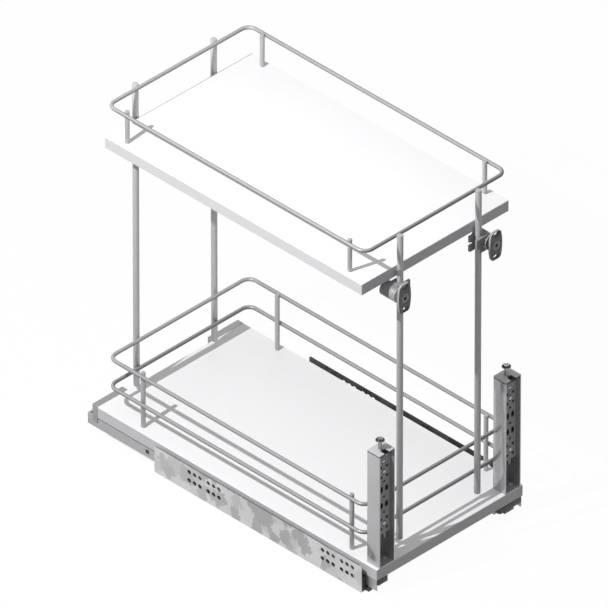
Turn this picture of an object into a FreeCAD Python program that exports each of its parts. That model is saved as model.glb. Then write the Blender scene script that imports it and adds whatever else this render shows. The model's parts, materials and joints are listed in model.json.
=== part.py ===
import FreeCAD, Part
import math
import os

# Two-tier pull-out organiser for a narrow base cabinet, on full-extension undermount runners.
# All sizes are in millimetres.
# The frame: +X runs across the cabinet to the right, +Y from the door to the back, +Z up.
# The origin is under the middle of the whole object, at the height of the runners' feet.
# Depths are measured from the front edge of the lower shelf, and called "back from the front".

V = FreeCAD.Vector

# Cabinet rails
CABINET_WIDTH = 262.0          # between the cabinet's side panels
RAIL_LENGTH = 348.0
RAIL_SHEET = 1.2
RAIL_SETBACK = 18.0            # a door thickness back from the front
RAIL_CORNER = 4.0
RAIL_SIDE_GAP = 6.8            # between the lower shelf's edge and the rail

# Screw holes in the cabinet rails, on the 32 mm system of cabinet sides
SYSTEM_PITCH = 32.0
HOLE_GROUP_PITCHES = 7         # from the front group to the rear one
HOLE_STEP = 9.0                # the three choices of hole in each system step
HOLE_FIRST = 15.3              # from the rail's front end to the first hole
HOLE_ROW_TOP = 8.9             # under the rail's top edge
HOLE_ROW_GAP = 12.0
HOLE_DIAMETER = 5.2

# Shelves
BOARD = 16.0
LOWER_DEPTH = 471.0
REAR_SETBACK = 15.0            # the upper shelf's rear edge, ahead of the lower one's
TIER_STEP = 400.7              # from one shelf's top to the other's
BOARD_EDGE = 0.6               # the small bevel on a board's edges

# Gallery wires, posts and rods
WIRE = 5.0
POST = 6.0
ROD = 8.0
WELD = 0.3                     # how far a weld draws two wires together
WIRE_COLUMN_GAP = 3.3          # between the door columns and the wires behind them
WIRE_INSET = 5.0               # from the board's side edge to the wire's centre
WIRE_CORNER = 12.0
UPPER_WIRE_HEIGHT = 42.9       # over the upper shelf
LOWER_WIRE_LOW = 36.3          # over the lower shelf
LOWER_WIRE_HIGH = 77.3
ROD_SPACING = 131.0
ROD_HOVER = 7.5                # the rods end this far over the lower shelf
TIP_PROUD = 3.1                # rods and posts end this far over the top wire's centre
TIP_BEVEL = 0.7
UPPER_POST_FRONT = 30.2        # from the wire loop's front run to the front posts
UPPER_POST_REAR = 28.0
LOWER_POST_FRONT = 26.2
LOWER_POST_REAR = 53.0

# Countersunk screws that hold the posts, from under each board
POST_SCREW = 3.4
POST_SCREW_HEAD = 7.0
POST_SCREW_BITE = 12.0

# Screw heads and the crosses in them, as shares of the head's diameter
RECESS_ARM = 0.3
RECESS_BLADE = 0.06
RECESS_DEPTH = 0.15
DOME_HEIGHT = 0.32

# Door columns
COLUMN_WIDTH = 26.0
COLUMN_DEPTH = 20.0
COLUMN_HEIGHT = 163.0
COLUMN_SHEET = 1.5
COLUMN_INSET = 4.0             # from the board's side edge
COLUMN_MOUTH = 9.0             # the cap's opening, where the screw goes in
COLUMN_MOUTH_DEPTH = 8.5
COLUMN_FOOT_SETBACK = 3.0
COLUMN_SCREW = 4.0
COLUMN_SCREW_HEAD = 8.0
COLUMN_SCREW_BITE = 12.8
COLUMN_SCREW_SETBACK = 11.5
COLUMN_SCREW_WALL = 5.5        # from the column's inner wall to the screw's axis

# Door plates that ride in the columns
PLATE_SIDE_GAP = 0.5
PLATE_HEIGHT = 111.0
PLATE_DROP = 9.0               # from the column's top to the plate's top
PLATE_SHEET = 2.0
PLATE_RECESS = 5.3             # the plate's face, back from the column's front edges
PLATE_FLANGE = 8.0
PLATE_SLOT = 4.0
PLATE_SLOT_LENGTH = 8.0
PLATE_SLOT_SPREAD = 8.4
PLATE_SLOT_STEP = 23.3
PLATE_SLOT_LIFT = 1.0          # the slots' middle over the studs' middle
PLATE_HOLE = 3.2
PLATE_HOLE_STEP = 22.3
PLATE_STUD_HOLE = 2.8          # the four small holes round each stud
PLATE_STUD_HOLE_SPREAD = 10.0
PLATE_STUD_HOLE_RISE = 7.0
PLATE_TOP_SLOT = 2.6
PLATE_TOP_SLOT_LENGTH = 6.5
PLATE_TOP_SLOT_DROP = 7.5
PLATE_TAB = 7.0
PLATE_TAB_INNER = 3.0          # from the plate's middle to the tab's two edges
PLATE_TAB_OUTER = 1.0
LUG_THICK = 4.0
LUG_INSET = 1.0
LUG_DEPTH = 11.0               # from the plate's face
HEIGHT_TRAVEL = 2.0            # the plate moves this far up and down
STUD = 4.0
STUD_HEAD = 6.2
STUD_HEAD_THICK = 1.2
STUD_PLAY = 0.2
STUD_FROM_TOP = 21.5           # from the plate's top to the upper stud
STUD_FROM_FOOT = 14.5          # from the plate's foot to the lower stud

# Height screws on the columns
SCREW_SHANK = 5.0
SCREW_NECK = 3.6
SCREW_HEAD = 11.5
SCREW_HEAD_THICK = 4.2
SCREW_STAND = 10.4             # from the cap to the head's underside
SCREW_SETBACK = 12.0
SCREW_TIP = 11.0               # the thread's end, under the lug
SCREW_BLEND = 0.5              # how far the neck runs into the shank on either side
SCREW_PROFILE = ((0.55, 0.0), (1.0, 0.35), (0.72, 0.82), (0.0, 1.0))  # shares of the head's radius and thickness
SCREW_RECESS = 0.72            # where the cross starts, as a share of the head's thickness
FIT = 0.05                     # radial play of a turning or sliding fit

# Door clips on the front rods
CLIP_SHELF_GAP = 4.4           # between the upper shelf and the barrel
CLIP_OFFSET = 10.9             # from the rod's axis outwards to the clip's axis
CLIP_BARREL = 19.6
CLIP_BEHIND = 13.9             # from the rod's axis back to the barrel's end
SLEEVE_AHEAD = 10.3            # from the rod's axis forwards to the sleeve's front
SLEEVE_LENGTH = 9.3
SLEEVE_PLAY = 0.1
CORE = 12.0
FACE_AHEAD = 19.1              # from the rod's axis forwards to the face
FACE_THICK = 3.3
FACE_WIDTH = 20.5
FACE_END_WIDTH = 16.6
FACE_HEIGHT = 40.0
FACE_CLIP = 2.8
FACE_SLOT = 3.8
FACE_SLOT_LENGTH = 6.8
FACE_SLOT_STEP = 32.0
FACE_SINK = 1.0                # how deep the face's screw seats are
FACE_SINK_RIM = 1.5            # how far they are wider than the slots, all round
COLLAR_GAP = 0.3
COLLAR_STEP = 0.2              # the collar is this much smaller than the barrel, all round
CLIP_SCREW = 6.0
CLIP_SCREW_HEAD = 13.0
CLIP_SCREW_PROUD = 0.4
CLIP_SCREW_BEHIND = 8.4        # from the rod's axis back to the screw's end
CLIP_SCREW_ROOM = 3.0          # the bore runs this much deeper
HEX_SOCKET = 4.0               # across the flats
HEX_SOCKET_DEPTH = 3.0
HEX_SIDES = 6
JAW_REACH = 9.8                # from the rod's axis inwards
JAW_THICK = 3.2
JAW_HEIGHT = 21.6
JAW_STRAP = 13.4
JAW_NOTCH = 4.7
JAW_NOTCH_DEPTH = 6.2
JAW_STEP = 1.0                 # the front jaw's lower part lies this far back
JAW_DIMPLE = 3.0
JAW_DIMPLE_DEPTH = 1.5
JAW_DIMPLE_RISE = 4.0          # from the strap's lower edge
JAW_DIMPLE_OFFSET = 1.0        # inwards from the rod's axis
JAW_PLAY = 0.2

# Runner sections, all folded from sheet: a raised track, a middle rail round it and a drawer rail round that
TRACK_HEIGHT = 9.8
TRACK_TOP_WIDTH = 10.0
TRACK_FOOT_WIDTH = 3.6
TRACK_SIDE_GAP = 0.8           # from the track's top edge to the middle rail's wall, across
LOWER_ROLLER = 3.7
LOWER_ROLLER_INSET = 1.0       # from the track's edge
LOWER_CAGE_THICK = 1.6
LOWER_CAGE_ROLLERS = 8
MIDDLE_SHORT = 10.0            # the middle rail is this much shorter than the cabinet rail
MIDDLE_SETBACK = 1.0           # from the cabinet rail's front end
MIDDLE_RISE = 1.3              # over the cabinet rail's floor
MIDDLE_TAPER = 2.6             # each wall leans out by this much
MIDDLE_LIP_HOLD = 0.2          # how far the lips reach in under the track's edges
MIDDLE_SIDE_GAP = 2.2          # to the drawer rail's wall
UPPER_ROLLER = 5.9
UPPER_ROLLER_INSET = 2.0       # from the middle rail's edge
UPPER_CAGE_THICK = 2.4
UPPER_CAGE_ROLLERS = 10
ROLLER_PITCH = 18.0
CAGE_SETBACK = 108.0           # the cages' front ends, back from the front
CAGE_END = 6.0                 # from the last roller's centre to the cage's end
CAGE_RIM = 1.2                 # beside the rollers
DRAWER_RAIL_INSET = 1.0        # from the lower shelf's side edge
DRAWER_RAIL_RISE = 4.8         # over the cabinet rail's floor
DRAWER_RAIL_LIP = 3.9
DRAWER_RAIL_FRONT = 1.5
REAR_REACH = 17.0              # how far the drawer rail runs past the lower shelf
RAIL_WINDOW = 6.0              # the square hole in the drawer rail's side
RAIL_WINDOW_FROM_END = 101.0
HOOK_SLOT = 5.0                # the slot across the drawer rail's top, near its rear end
HOOK_SLOT_WIDTH = 15.0
HOOK_SLOT_FROM_END = 3.0
FLOOR_SIDE_GAP = 1.8           # between the drawer rail and the floor's upstand
FLOOR_UPSTAND = 5.0

# Front guides
GUIDE_LENGTH = 17.0
GUIDE_NOSE = 5.0
GUIDE_NOSE_WIDTH = 6.2
GUIDE_RAIL_GAP = 1.0           # under the drawer rail
GUIDE_SIDE_GAP = 1.5           # beside the middle rail
GUIDE_CHEEK_GAP = 0.4          # beside the lower shelf
GUIDE_CHEEK_SETBACK = 1.0
GUIDE_CHEEK_DROP = 2.0         # under the lower shelf's underside

# Locking devices under the lower shelf's front
LOCK_FRONT = 0.3
LOCK_DROP = 8.5
LOCK_NOSE = 12.5               # the front block's rear, back from the front
LOCK_STEP = 1.5                # between the front block and the drawer rail's top and inner wall
LOCK_LENGTH = 58.0
LOCK_REACH_RIGHT = 37.5        # how far inwards each lock's front face runs
LOCK_REACH_LEFT = 18.5
LOCK_SIDE_GAP = 0.6            # inside the drawer rail's outer wall
LOCK_BODY = 10.6
LOCK_BODY_GAP = 0.3            # beside the drawer rail's inner wall
LOCK_WEB_DEPTH = 3.0
LOCK_WEB_HEIGHT = 4.0
LOCK_ROOF = 3.0                # over the lever's pin
LEVER_GAP = 0.15
LEVER_THICK = 4.0
LEVER_ARM = 5.2
LEVER_NECK = 4.0
LEVER_FRONT = 0.8
LEVER_PAD = 18.1               # from the pivot's axis outwards to the pad's end
LEVER_PAD_DEPTH = 9.0
LEVER_PAD_STEP = 5.0           # how far the pad stands ahead of the arm and the neck
LEVER_EYE_RIM = 0.5            # inside the lock body's sides
LEVER_PIN_ROOM = 0.5
LEVER_PIVOT = 5.0
LEVER_PIVOT_SETBACK = 40.0
LOCK_SCREW_SETBACK = 26.0
LOCK_SCREW_FROM_END = 4.0

# Small screws of the locking devices and rear brackets
SMALL_SCREW = 3.5
SMALL_SCREW_HEAD = 7.0
SMALL_SCREW_HEAD_THICK = 2.2
SMALL_SCREW_SINK = 2.5
SMALL_SCREW_BITE = 9.6
EDGE_SCREW_BITE = 14.0

# Rear brackets
BRACKET_WIDTH = 51.0
BRACKET_DEPTH = 9.0
BRACKET_DROP = 24.0
BRACKET_WALL = 2.0
BRACKET_ROUND = 1.5
BRACKET_SIDE_GAP = 0.1         # outside the drawer rail
BRACKET_WING_GAP = 0.4         # inside the drawer rail
BRACKET_SCREW_INNER = 10.0
BRACKET_SCREW_OUTER = 14.0

# Places worked out from the sizes above
DEPTH = LOWER_DEPTH + REAR_REACH
FRONT = -DEPTH / 2
PLAY = 2 * FIT
MIDDLE_TOP = TRACK_HEIGHT + PLAY + LOWER_ROLLER + RAIL_SHEET
SHELF_UNDER = MIDDLE_TOP + PLAY + UPPER_ROLLER + RAIL_SHEET
SHELF_TOP = SHELF_UNDER + BOARD
RAIL_HEIGHT = SHELF_TOP
MIDDLE_FOOT = RAIL_SHEET + MIDDLE_RISE
DRAWER_RAIL_FOOT = RAIL_SHEET + DRAWER_RAIL_RISE
TRACK_HALF = TRACK_TOP_WIDTH / 2
MIDDLE_HALF_FOOT = TRACK_HALF + TRACK_SIDE_GAP + RAIL_SHEET
MIDDLE_HALF_TOP = MIDDLE_HALF_FOOT + MIDDLE_TAPER
DRAWER_HALF = MIDDLE_HALF_TOP + MIDDLE_SIDE_GAP + RAIL_SHEET
FLOOR_REACH = DRAWER_HALF + FLOOR_SIDE_GAP + RAIL_SHEET
RAIL_X = CABINET_WIDTH / 2
HALF_WIDTH = RAIL_X - RAIL_SHEET - RAIL_SIDE_GAP
RUNNER_X = HALF_WIDTH - DRAWER_RAIL_INSET - DRAWER_HALF
UPPER_TOP = SHELF_TOP + TIER_STEP
WIRE_X = HALF_WIDTH - WIRE_INSET
WIRE_FRONT = FRONT + COLUMN_DEPTH + WIRE_COLUMN_GAP + WIRE / 2
WIRE_REAR = FRONT + LOWER_DEPTH - REAR_SETBACK
ROD_X = ROD_SPACING / 2
ROD_OUT = (ROD + WIRE) / 2 - WELD
ROD_FRONT = WIRE_FRONT - ROD_OUT
ROD_REAR = WIRE_REAR + ROD_OUT
TIP_TOP = UPPER_TOP + UPPER_WIRE_HEIGHT + TIP_PROUD
POST_X = WIRE_X - (POST + WIRE) / 2 + WELD
COLUMN_X = HALF_WIDTH - COLUMN_INSET - COLUMN_WIDTH / 2
COLUMN_TOP = SHELF_TOP + COLUMN_HEIGHT
COLUMN_SCREW_X = COLUMN_WIDTH / 2 - COLUMN_SHEET - COLUMN_SCREW_WALL
PLATE_TOP = COLUMN_TOP - PLATE_DROP
PLATE_FOOT = PLATE_TOP - PLATE_HEIGHT
PLATE_HALF = COLUMN_WIDTH / 2 - COLUMN_SHEET - PLATE_SIDE_GAP
CLIP_X = ROD_X + CLIP_OFFSET
CLIP_Z = UPPER_TOP - BOARD - CLIP_SHELF_GAP - CLIP_BARREL / 2
CLIP_FACE = ROD_FRONT - FACE_AHEAD
CLIP_END = ROD_FRONT + CLIP_BEHIND
CLIP_SCREW_END = ROD_FRONT + CLIP_SCREW_BEHIND
SLEEVE_FRONT = ROD_FRONT - SLEEVE_AHEAD
SLEEVE_BACK = SLEEVE_FRONT + SLEEVE_LENGTH
LOCK_FOOT = SHELF_UNDER - LOCK_DROP
LOCK_OUTER = RUNNER_X + DRAWER_HALF - RAIL_SHEET - LOCK_SIDE_GAP
LOCK_INNER = RUNNER_X - DRAWER_HALF - LOCK_BODY_GAP
LOCK_X = LOCK_INNER - LOCK_BODY / 2
LOCK_SCREW_YS = (FRONT + LOCK_SCREW_SETBACK, FRONT + LOCK_LENGTH - LOCK_SCREW_FROM_END)
LEVER_PIVOT_Y = FRONT + LEVER_PIVOT_SETBACK
BRACKET_X = HALF_WIDTH - BRACKET_WIDTH
BRACKET_SCREW_XS = (BRACKET_X + BRACKET_SCREW_INNER, HALF_WIDTH - BRACKET_SCREW_OUTER)
EDGE_SCREW_Z = SHELF_TOP - BOARD / 2


def box(x0, x1, y0, y1, z0, z1):
    """A block between two corners, given in any order."""
    low = V(min(x0, x1), min(y0, y1), min(z0, z1))
    return Part.makeBox(abs(x1 - x0), abs(y1 - y0), abs(z1 - z0), low)


def bar_x(x0, x1, y, z, diameter):
    """A round bar along X."""
    return Part.makeCylinder(diameter / 2, x1 - x0, V(x0, y, z), V(1, 0, 0))


def bar_y(x, z, y0, y1, diameter):
    """A round bar along Y."""
    return Part.makeCylinder(diameter / 2, y1 - y0, V(x, y0, z), V(0, 1, 0))


def bar_z(x, y, z0, z1, diameter):
    """A round bar along Z."""
    return Part.makeCylinder(diameter / 2, z1 - z0, V(x, y, z0), V(0, 0, 1))


def join(shapes):
    """Several solids as one."""
    return shapes[0].multiFuse(shapes[1:]).removeSplitter()


def mirrored(shape):
    """The same piece for the other side of the object."""
    return shape.mirror(V(0, 0, 0), V(1, 0, 0))


def folded(points, thickness, run):
    """A strip of sheet bent along a line of points, its thickness inside the bends, drawn out along run."""
    line = Part.makePolygon(points)
    sides = [line.makeOffset2D(t, 0, True, True, True) for t in (thickness, -thickness)]
    face = min(sides, key=lambda side: side.BoundBox.DiagonalLength)
    return face.extrude(run)


def slot_y(x, z, y0, y1, length, width, upright):
    """A long round-ended hole through a plate that faces Y."""
    reach = (length - width) / 2
    step = V(0, 0, reach) if upright else V(reach, 0, 0)
    centre = V(x, y0, z)
    across = V(width / 2, 0, 0) if upright else V(0, 0, width / 2)
    corners = [centre + step + across, centre + step - across, centre - step - across, centre - step + across]
    middle = Part.Face(Part.makePolygon(corners + corners[:1])).extrude(V(0, y1 - y0, 0))
    ends = [bar_y((centre + s).x, (centre + s).z, y0, y1, width) for s in (step, -step)]
    return join([middle] + ends)


def tipped_bar(x, y, z0, z1, diameter):
    """A round bar with a small bevel at each end."""
    radius = diameter / 2
    profile = [V(0, 0, z0), V(radius - TIP_BEVEL, 0, z0), V(radius, 0, z0 + TIP_BEVEL),
               V(radius, 0, z1 - TIP_BEVEL), V(radius - TIP_BEVEL, 0, z1), V(0, 0, z1), V(0, 0, z0)]
    bar = Part.Face(Part.makePolygon(profile)).revolve(V(0, 0, 0), V(0, 0, 1), 360)
    bar.translate(V(x, y, 0))
    return bar


def countersunk_screw(x, y, z, head, shank, length):
    """A flat-headed screw that goes up from z, its head flush underneath, with a cross recess."""
    cone_height = (head - shank) / 2
    cone = Part.makeCone(head / 2, shank / 2, cone_height, V(x, y, z))
    body = join([cone, bar_z(x, y, z + cone_height / 2, z + length, shank)])
    return body.cut(cross_recess(x, y, z, head))


def cross_recess(x, y, z, head):
    """The cross that a screwdriver turns, cut up into a head at z."""
    arm = head * RECESS_ARM
    blade = head * RECESS_BLADE
    depth = head * RECESS_DEPTH
    return join([box(x - arm, x + arm, y - blade, y + blade, z, z + depth),
                 box(x - blade, x + blade, y - arm, y + arm, z, z + depth)])


def pan_screw_down(x, y, z, head, shank, length):
    """A round-headed screw that goes down from a seat at z."""
    height = head * DOME_HEIGHT
    radius = (head * head / 4 + height * height) / (2 * height)
    dome = Part.makeSphere(radius, V(x, y, z + height - radius))
    cap = dome.common(box(x - head, x + head, y - head, y + head, z, z + head))
    recess = cross_recess(x, y, z + height - head * RECESS_DEPTH, head)
    return join([cap, bar_z(x, y, z - length, z + height / 2, shank)]).cut(recess)


def shelf(front, rear, top, posts, screw_holes):
    """A melamine board with bevelled edges, bored for its screws."""
    board = box(-HALF_WIDTH, HALF_WIDTH, front, rear, top - BOARD, top)
    board = board.makeChamfer(BOARD_EDGE, board.Edges)
    holes = []
    for x, y in posts:
        holes.append(bar_z(x, y, top - BOARD, top, POST_SCREW))
        seat = (POST_SCREW_HEAD - POST_SCREW) / 2
        holes.append(Part.makeCone(POST_SCREW_HEAD / 2, POST_SCREW / 2, seat, V(x, y, top - BOARD)))
    return board.cut(holes + screw_holes)


def gallery_wire(height):
    """One closed loop of wire with round corners."""
    x = WIRE_X - WIRE_CORNER
    low = WIRE_FRONT + WIRE_CORNER
    high = WIRE_REAR - WIRE_CORNER
    diagonal = WIRE_CORNER * math.sqrt(0.5)
    edges = []
    corners = ((x, low, 1, -1), (x, high, 1, 1), (-x, high, -1, 1), (-x, low, -1, -1))
    starts = []
    for index, (cx, cy, sx, sy) in enumerate(corners):
        centre = V(cx, cy, height)
        along_x = centre + V(sx * WIRE_CORNER, 0, 0)
        along_y = centre + V(0, sy * WIRE_CORNER, 0)
        middle = centre + V(sx * diagonal, sy * diagonal, 0)
        first, last = (along_y, along_x) if index % 2 == 0 else (along_x, along_y)
        starts.append((first, middle, last))
    for index, (first, middle, last) in enumerate(starts):
        following = starts[(index + 1) % len(starts)][0]
        edges.append(Part.Arc(first, middle, last).toShape())
        edges.append(Part.LineSegment(last, following).toShape())
    path = Part.Wire(edges)
    start = starts[0][0]
    ring = Part.Wire(Part.makeCircle(WIRE / 2, start, V(1, 0, 0)))
    return path.makePipeShell([ring], True, False)


def post(x, y, base, top):
    """A short upright, bored underneath for its screw."""
    return tipped_bar(x, y, base, top, POST).cut(bar_z(x, y, base, base + POST_SCREW_BITE, POST_SCREW))


def post_places(front, rear):
    """Where the four posts of one gallery stand."""
    names = ("front_left", "front_right", "rear_left", "rear_right")
    ys = (WIRE_FRONT + front, WIRE_FRONT + front, WIRE_REAR - rear, WIRE_REAR - rear)
    xs = (-POST_X, POST_X, -POST_X, POST_X)
    return list(zip(names, xs, ys))


def cabinet_rail():
    """The fixed rail: a tall screwed-on side, a floor and the raised track that the rollers run on."""
    foot = TRACK_FOOT_WIDTH / 2
    crown = TRACK_HALF - RAIL_SHEET
    under = TRACK_HEIGHT - RAIL_SHEET
    inner = RUNNER_X - FLOOR_REACH
    start = FRONT + RAIL_SETBACK
    points = [V(RAIL_X, start, RAIL_HEIGHT), V(RAIL_X, start, 0), V(RUNNER_X + foot, start, 0),
              V(RUNNER_X + crown, start, under), V(RUNNER_X - crown, start, under),
              V(RUNNER_X - foot, start, 0), V(inner, start, 0), V(inner, start, FLOOR_UPSTAND)]
    rail = folded(points, RAIL_SHEET, V(0, RAIL_LENGTH, 0))
    corner_y = start + RAIL_CORNER
    corner_z = RAIL_HEIGHT - RAIL_CORNER
    corner = box(RAIL_X - RAIL_SHEET, RAIL_X, start, corner_y, corner_z, RAIL_HEIGHT)
    rounding = bar_x(RAIL_X - RAIL_SHEET, RAIL_X, corner_y, corner_z, 2 * RAIL_CORNER)
    rail = rail.cut(corner.cut(rounding))
    holes = []
    for y in rail_hole_depths():
        for row in range(2):
            z = RAIL_HEIGHT - HOLE_ROW_TOP - row * HOLE_ROW_GAP
            holes.append(bar_x(RAIL_X - 2 * RAIL_SHEET, RAIL_X + RAIL_SHEET, y, z, HOLE_DIAMETER))
    return rail.cut(holes)


def rail_hole_depths():
    """The screw holes along the rail: three to choose from in each system step, two steps in each group."""
    first = FRONT + RAIL_SETBACK + HOLE_FIRST
    last = FRONT + RAIL_SETBACK + RAIL_LENGTH - HOLE_DIAMETER
    steps = (0, 1, HOLE_GROUP_PITCHES, HOLE_GROUP_PITCHES + 1)
    depths = [first + step * SYSTEM_PITCH + choice * HOLE_STEP for step in steps for choice in range(3)]
    return [y for y in depths if y < last]


def middle_rail():
    """The middle rail: a lipped section that straddles the track, with the drawer rail over it."""
    lip = TRACK_HALF - MIDDLE_LIP_HOLD
    start = FRONT + RAIL_SETBACK + MIDDLE_SETBACK
    outline = ((lip, MIDDLE_FOOT), (MIDDLE_HALF_FOOT, MIDDLE_FOOT), (MIDDLE_HALF_TOP, MIDDLE_TOP),
               (-MIDDLE_HALF_TOP, MIDDLE_TOP), (-MIDDLE_HALF_FOOT, MIDDLE_FOOT), (-lip, MIDDLE_FOOT))
    points = [V(RUNNER_X + x, start, z) for x, z in outline]
    return folded(points, RAIL_SHEET, V(0, RAIL_LENGTH - MIDDLE_SHORT, 0))


def drawer_rail():
    """The moving rail under the shelf: an upside-down channel with lips, slotted at its rear end."""
    lip = DRAWER_HALF - DRAWER_RAIL_LIP
    start = FRONT + DRAWER_RAIL_FRONT
    end = FRONT + DEPTH
    outline = ((lip, DRAWER_RAIL_FOOT), (DRAWER_HALF, DRAWER_RAIL_FOOT), (DRAWER_HALF, SHELF_UNDER),
               (-DRAWER_HALF, SHELF_UNDER), (-DRAWER_HALF, DRAWER_RAIL_FOOT), (-lip, DRAWER_RAIL_FOOT))
    points = [V(RUNNER_X + x, start, z) for x, z in outline]
    rail = folded(points, RAIL_SHEET, V(0, end - start, 0))
    wall = RUNNER_X + DRAWER_HALF - RAIL_SHEET
    notch = box(RUNNER_X - DRAWER_HALF, wall, start, FRONT + LOCK_NOSE + LOCK_STEP, DRAWER_RAIL_FOOT, SHELF_UNDER)
    middle = (SHELF_UNDER + DRAWER_RAIL_FOOT) / 2
    behind = end - RAIL_WINDOW_FROM_END
    half = RAIL_WINDOW / 2
    window = box(wall, wall + RAIL_SHEET, behind - half, behind + half, middle - half, middle + half)
    slot_end = end - HOOK_SLOT_FROM_END
    hook_slot = box(RUNNER_X - HOOK_SLOT_WIDTH / 2, RUNNER_X + HOOK_SLOT_WIDTH / 2, slot_end - HOOK_SLOT, slot_end,
                    SHELF_UNDER - RAIL_SHEET, SHELF_UNDER)
    return rail.cut([notch, window, hook_slot])


def roller_cage(floor, roller, half, count, thickness):
    """A plastic strip with its rollers, lying on a surface at the height of floor."""
    y0 = FRONT + CAGE_SETBACK
    length = 2 * CAGE_END + (count - 1) * ROLLER_PITCH
    middle = floor + FIT + roller / 2
    rim = half + CAGE_RIM
    strip = box(RUNNER_X - rim, RUNNER_X + rim, y0, y0 + length, middle - thickness / 2, middle + thickness / 2)
    windows = []
    rollers = []
    for index in range(count):
        y = y0 + CAGE_END + index * ROLLER_PITCH
        windows.append(bar_x(RUNNER_X - half - FIT, RUNNER_X + half + FIT, y, middle, roller + PLAY))
        rollers.append(bar_x(RUNNER_X - half, RUNNER_X + half, y, middle, roller))
    return Part.makeCompound([strip.cut(windows)] + rollers)


def rail_guide():
    """A black plastic guide in the front end of the cabinet rail, beside and under the drawer rail."""
    start = FRONT + RAIL_SETBACK
    outer = RAIL_X - RAIL_SHEET
    inner = RUNNER_X + MIDDLE_HALF_FOOT + GUIDE_SIDE_GAP
    shoe_top = DRAWER_RAIL_FOOT - GUIDE_RAIL_GAP
    shoe = box(inner, outer, start, start + GUIDE_LENGTH, RAIL_SHEET, shoe_top)
    nose = box(inner, inner + GUIDE_NOSE_WIDTH, start - GUIDE_NOSE, start, 0, shoe_top)
    cheek = box(HALF_WIDTH + GUIDE_CHEEK_GAP, outer, start + GUIDE_CHEEK_SETBACK, start + GUIDE_LENGTH,
                RAIL_SHEET, SHELF_UNDER - GUIDE_CHEEK_DROP)
    return join([shoe, nose, cheek])


def front_lock(reach, wide):
    """The locking device under the shelf's front, which holds the drawer rail. It is screwed on from below."""
    front = FRONT + LOCK_FRONT
    nose = FRONT + LOCK_NOSE
    inner = LOCK_INNER - LOCK_BODY
    body_front = front if wide else nose + LOCK_STEP
    web_foot = SHELF_UNDER - LOCK_WEB_HEIGHT
    block = box(HALF_WIDTH - reach, LOCK_OUTER, front, nose, LOCK_FOOT, SHELF_UNDER)
    body = box(inner, LOCK_INNER, body_front, FRONT + LOCK_LENGTH, LOCK_FOOT, SHELF_UNDER)
    web = box(inner, LOCK_OUTER, nose - LOCK_WEB_DEPTH, nose, web_foot, SHELF_UNDER)
    bridge = box(inner, LOCK_INNER, nose - LOCK_WEB_DEPTH, body_front + LOCK_WEB_DEPTH, web_foot, SHELF_UNDER)
    return join([block, body, web, bridge]).cut(lock_bores())


def lock_bores():
    """Screw holes and the lever's pivot hole in a locking device."""
    bores = []
    for y in LOCK_SCREW_YS:
        bores.append(bar_z(LOCK_X, y, LOCK_FOOT, SHELF_UNDER, SMALL_SCREW))
        bores.append(bar_z(LOCK_X, y, LOCK_FOOT, LOCK_FOOT + SMALL_SCREW_SINK, SMALL_SCREW_HEAD + PLAY))
    bores.append(bar_z(LOCK_X, LEVER_PIVOT_Y, LOCK_FOOT, SHELF_UNDER - LOCK_ROOF, LEVER_PIVOT + PLAY))
    return bores


def lock_lever(wide):
    """The finger lever under a locking device, on an upright pivot."""
    top = LOCK_FOOT - LEVER_GAP
    foot = top - LEVER_THICK
    half = LEVER_ARM / 2
    front = FRONT + (LEVER_FRONT if wide else LOCK_NOSE + 2 * LOCK_STEP)
    step = front + LEVER_PAD_STEP
    pad_back = front + LEVER_PAD_DEPTH
    arm = box(LOCK_X - half, LOCK_X + half, step, LEVER_PIVOT_Y, foot, top)
    eye = bar_z(LOCK_X, LEVER_PIVOT_Y, foot, top, LOCK_BODY - 2 * LEVER_EYE_RIM)
    pin = bar_z(LOCK_X, LEVER_PIVOT_Y, top, SHELF_UNDER - LOCK_ROOF - LEVER_PIN_ROOM, LEVER_PIVOT)
    if wide:
        pad = box(LOCK_X + half, LOCK_X + LEVER_PAD, front, pad_back, foot, top)
    else:
        pad = box(LOCK_X - half, LOCK_X + LEVER_NECK, front, pad_back, foot, top)
    neck = box(LOCK_X - half, LOCK_X + LEVER_NECK, step, pad_back, foot, top)
    return join([arm, eye, pin, pad, neck])


def lock_screws():
    """The screws of one locking device, up into the shelf."""
    seat = LOCK_FOOT + SMALL_SCREW_SINK
    under = seat - SMALL_SCREW_HEAD_THICK
    screws = []
    for y in LOCK_SCREW_YS:
        head = bar_z(LOCK_X, y, under, seat, SMALL_SCREW_HEAD)
        shank = bar_z(LOCK_X, y, seat, SHELF_UNDER + SMALL_SCREW_BITE, SMALL_SCREW)
        screws.append(join([head, shank]).cut(cross_recess(LOCK_X, y, under, SMALL_SCREW_HEAD)))
    return screws


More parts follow.
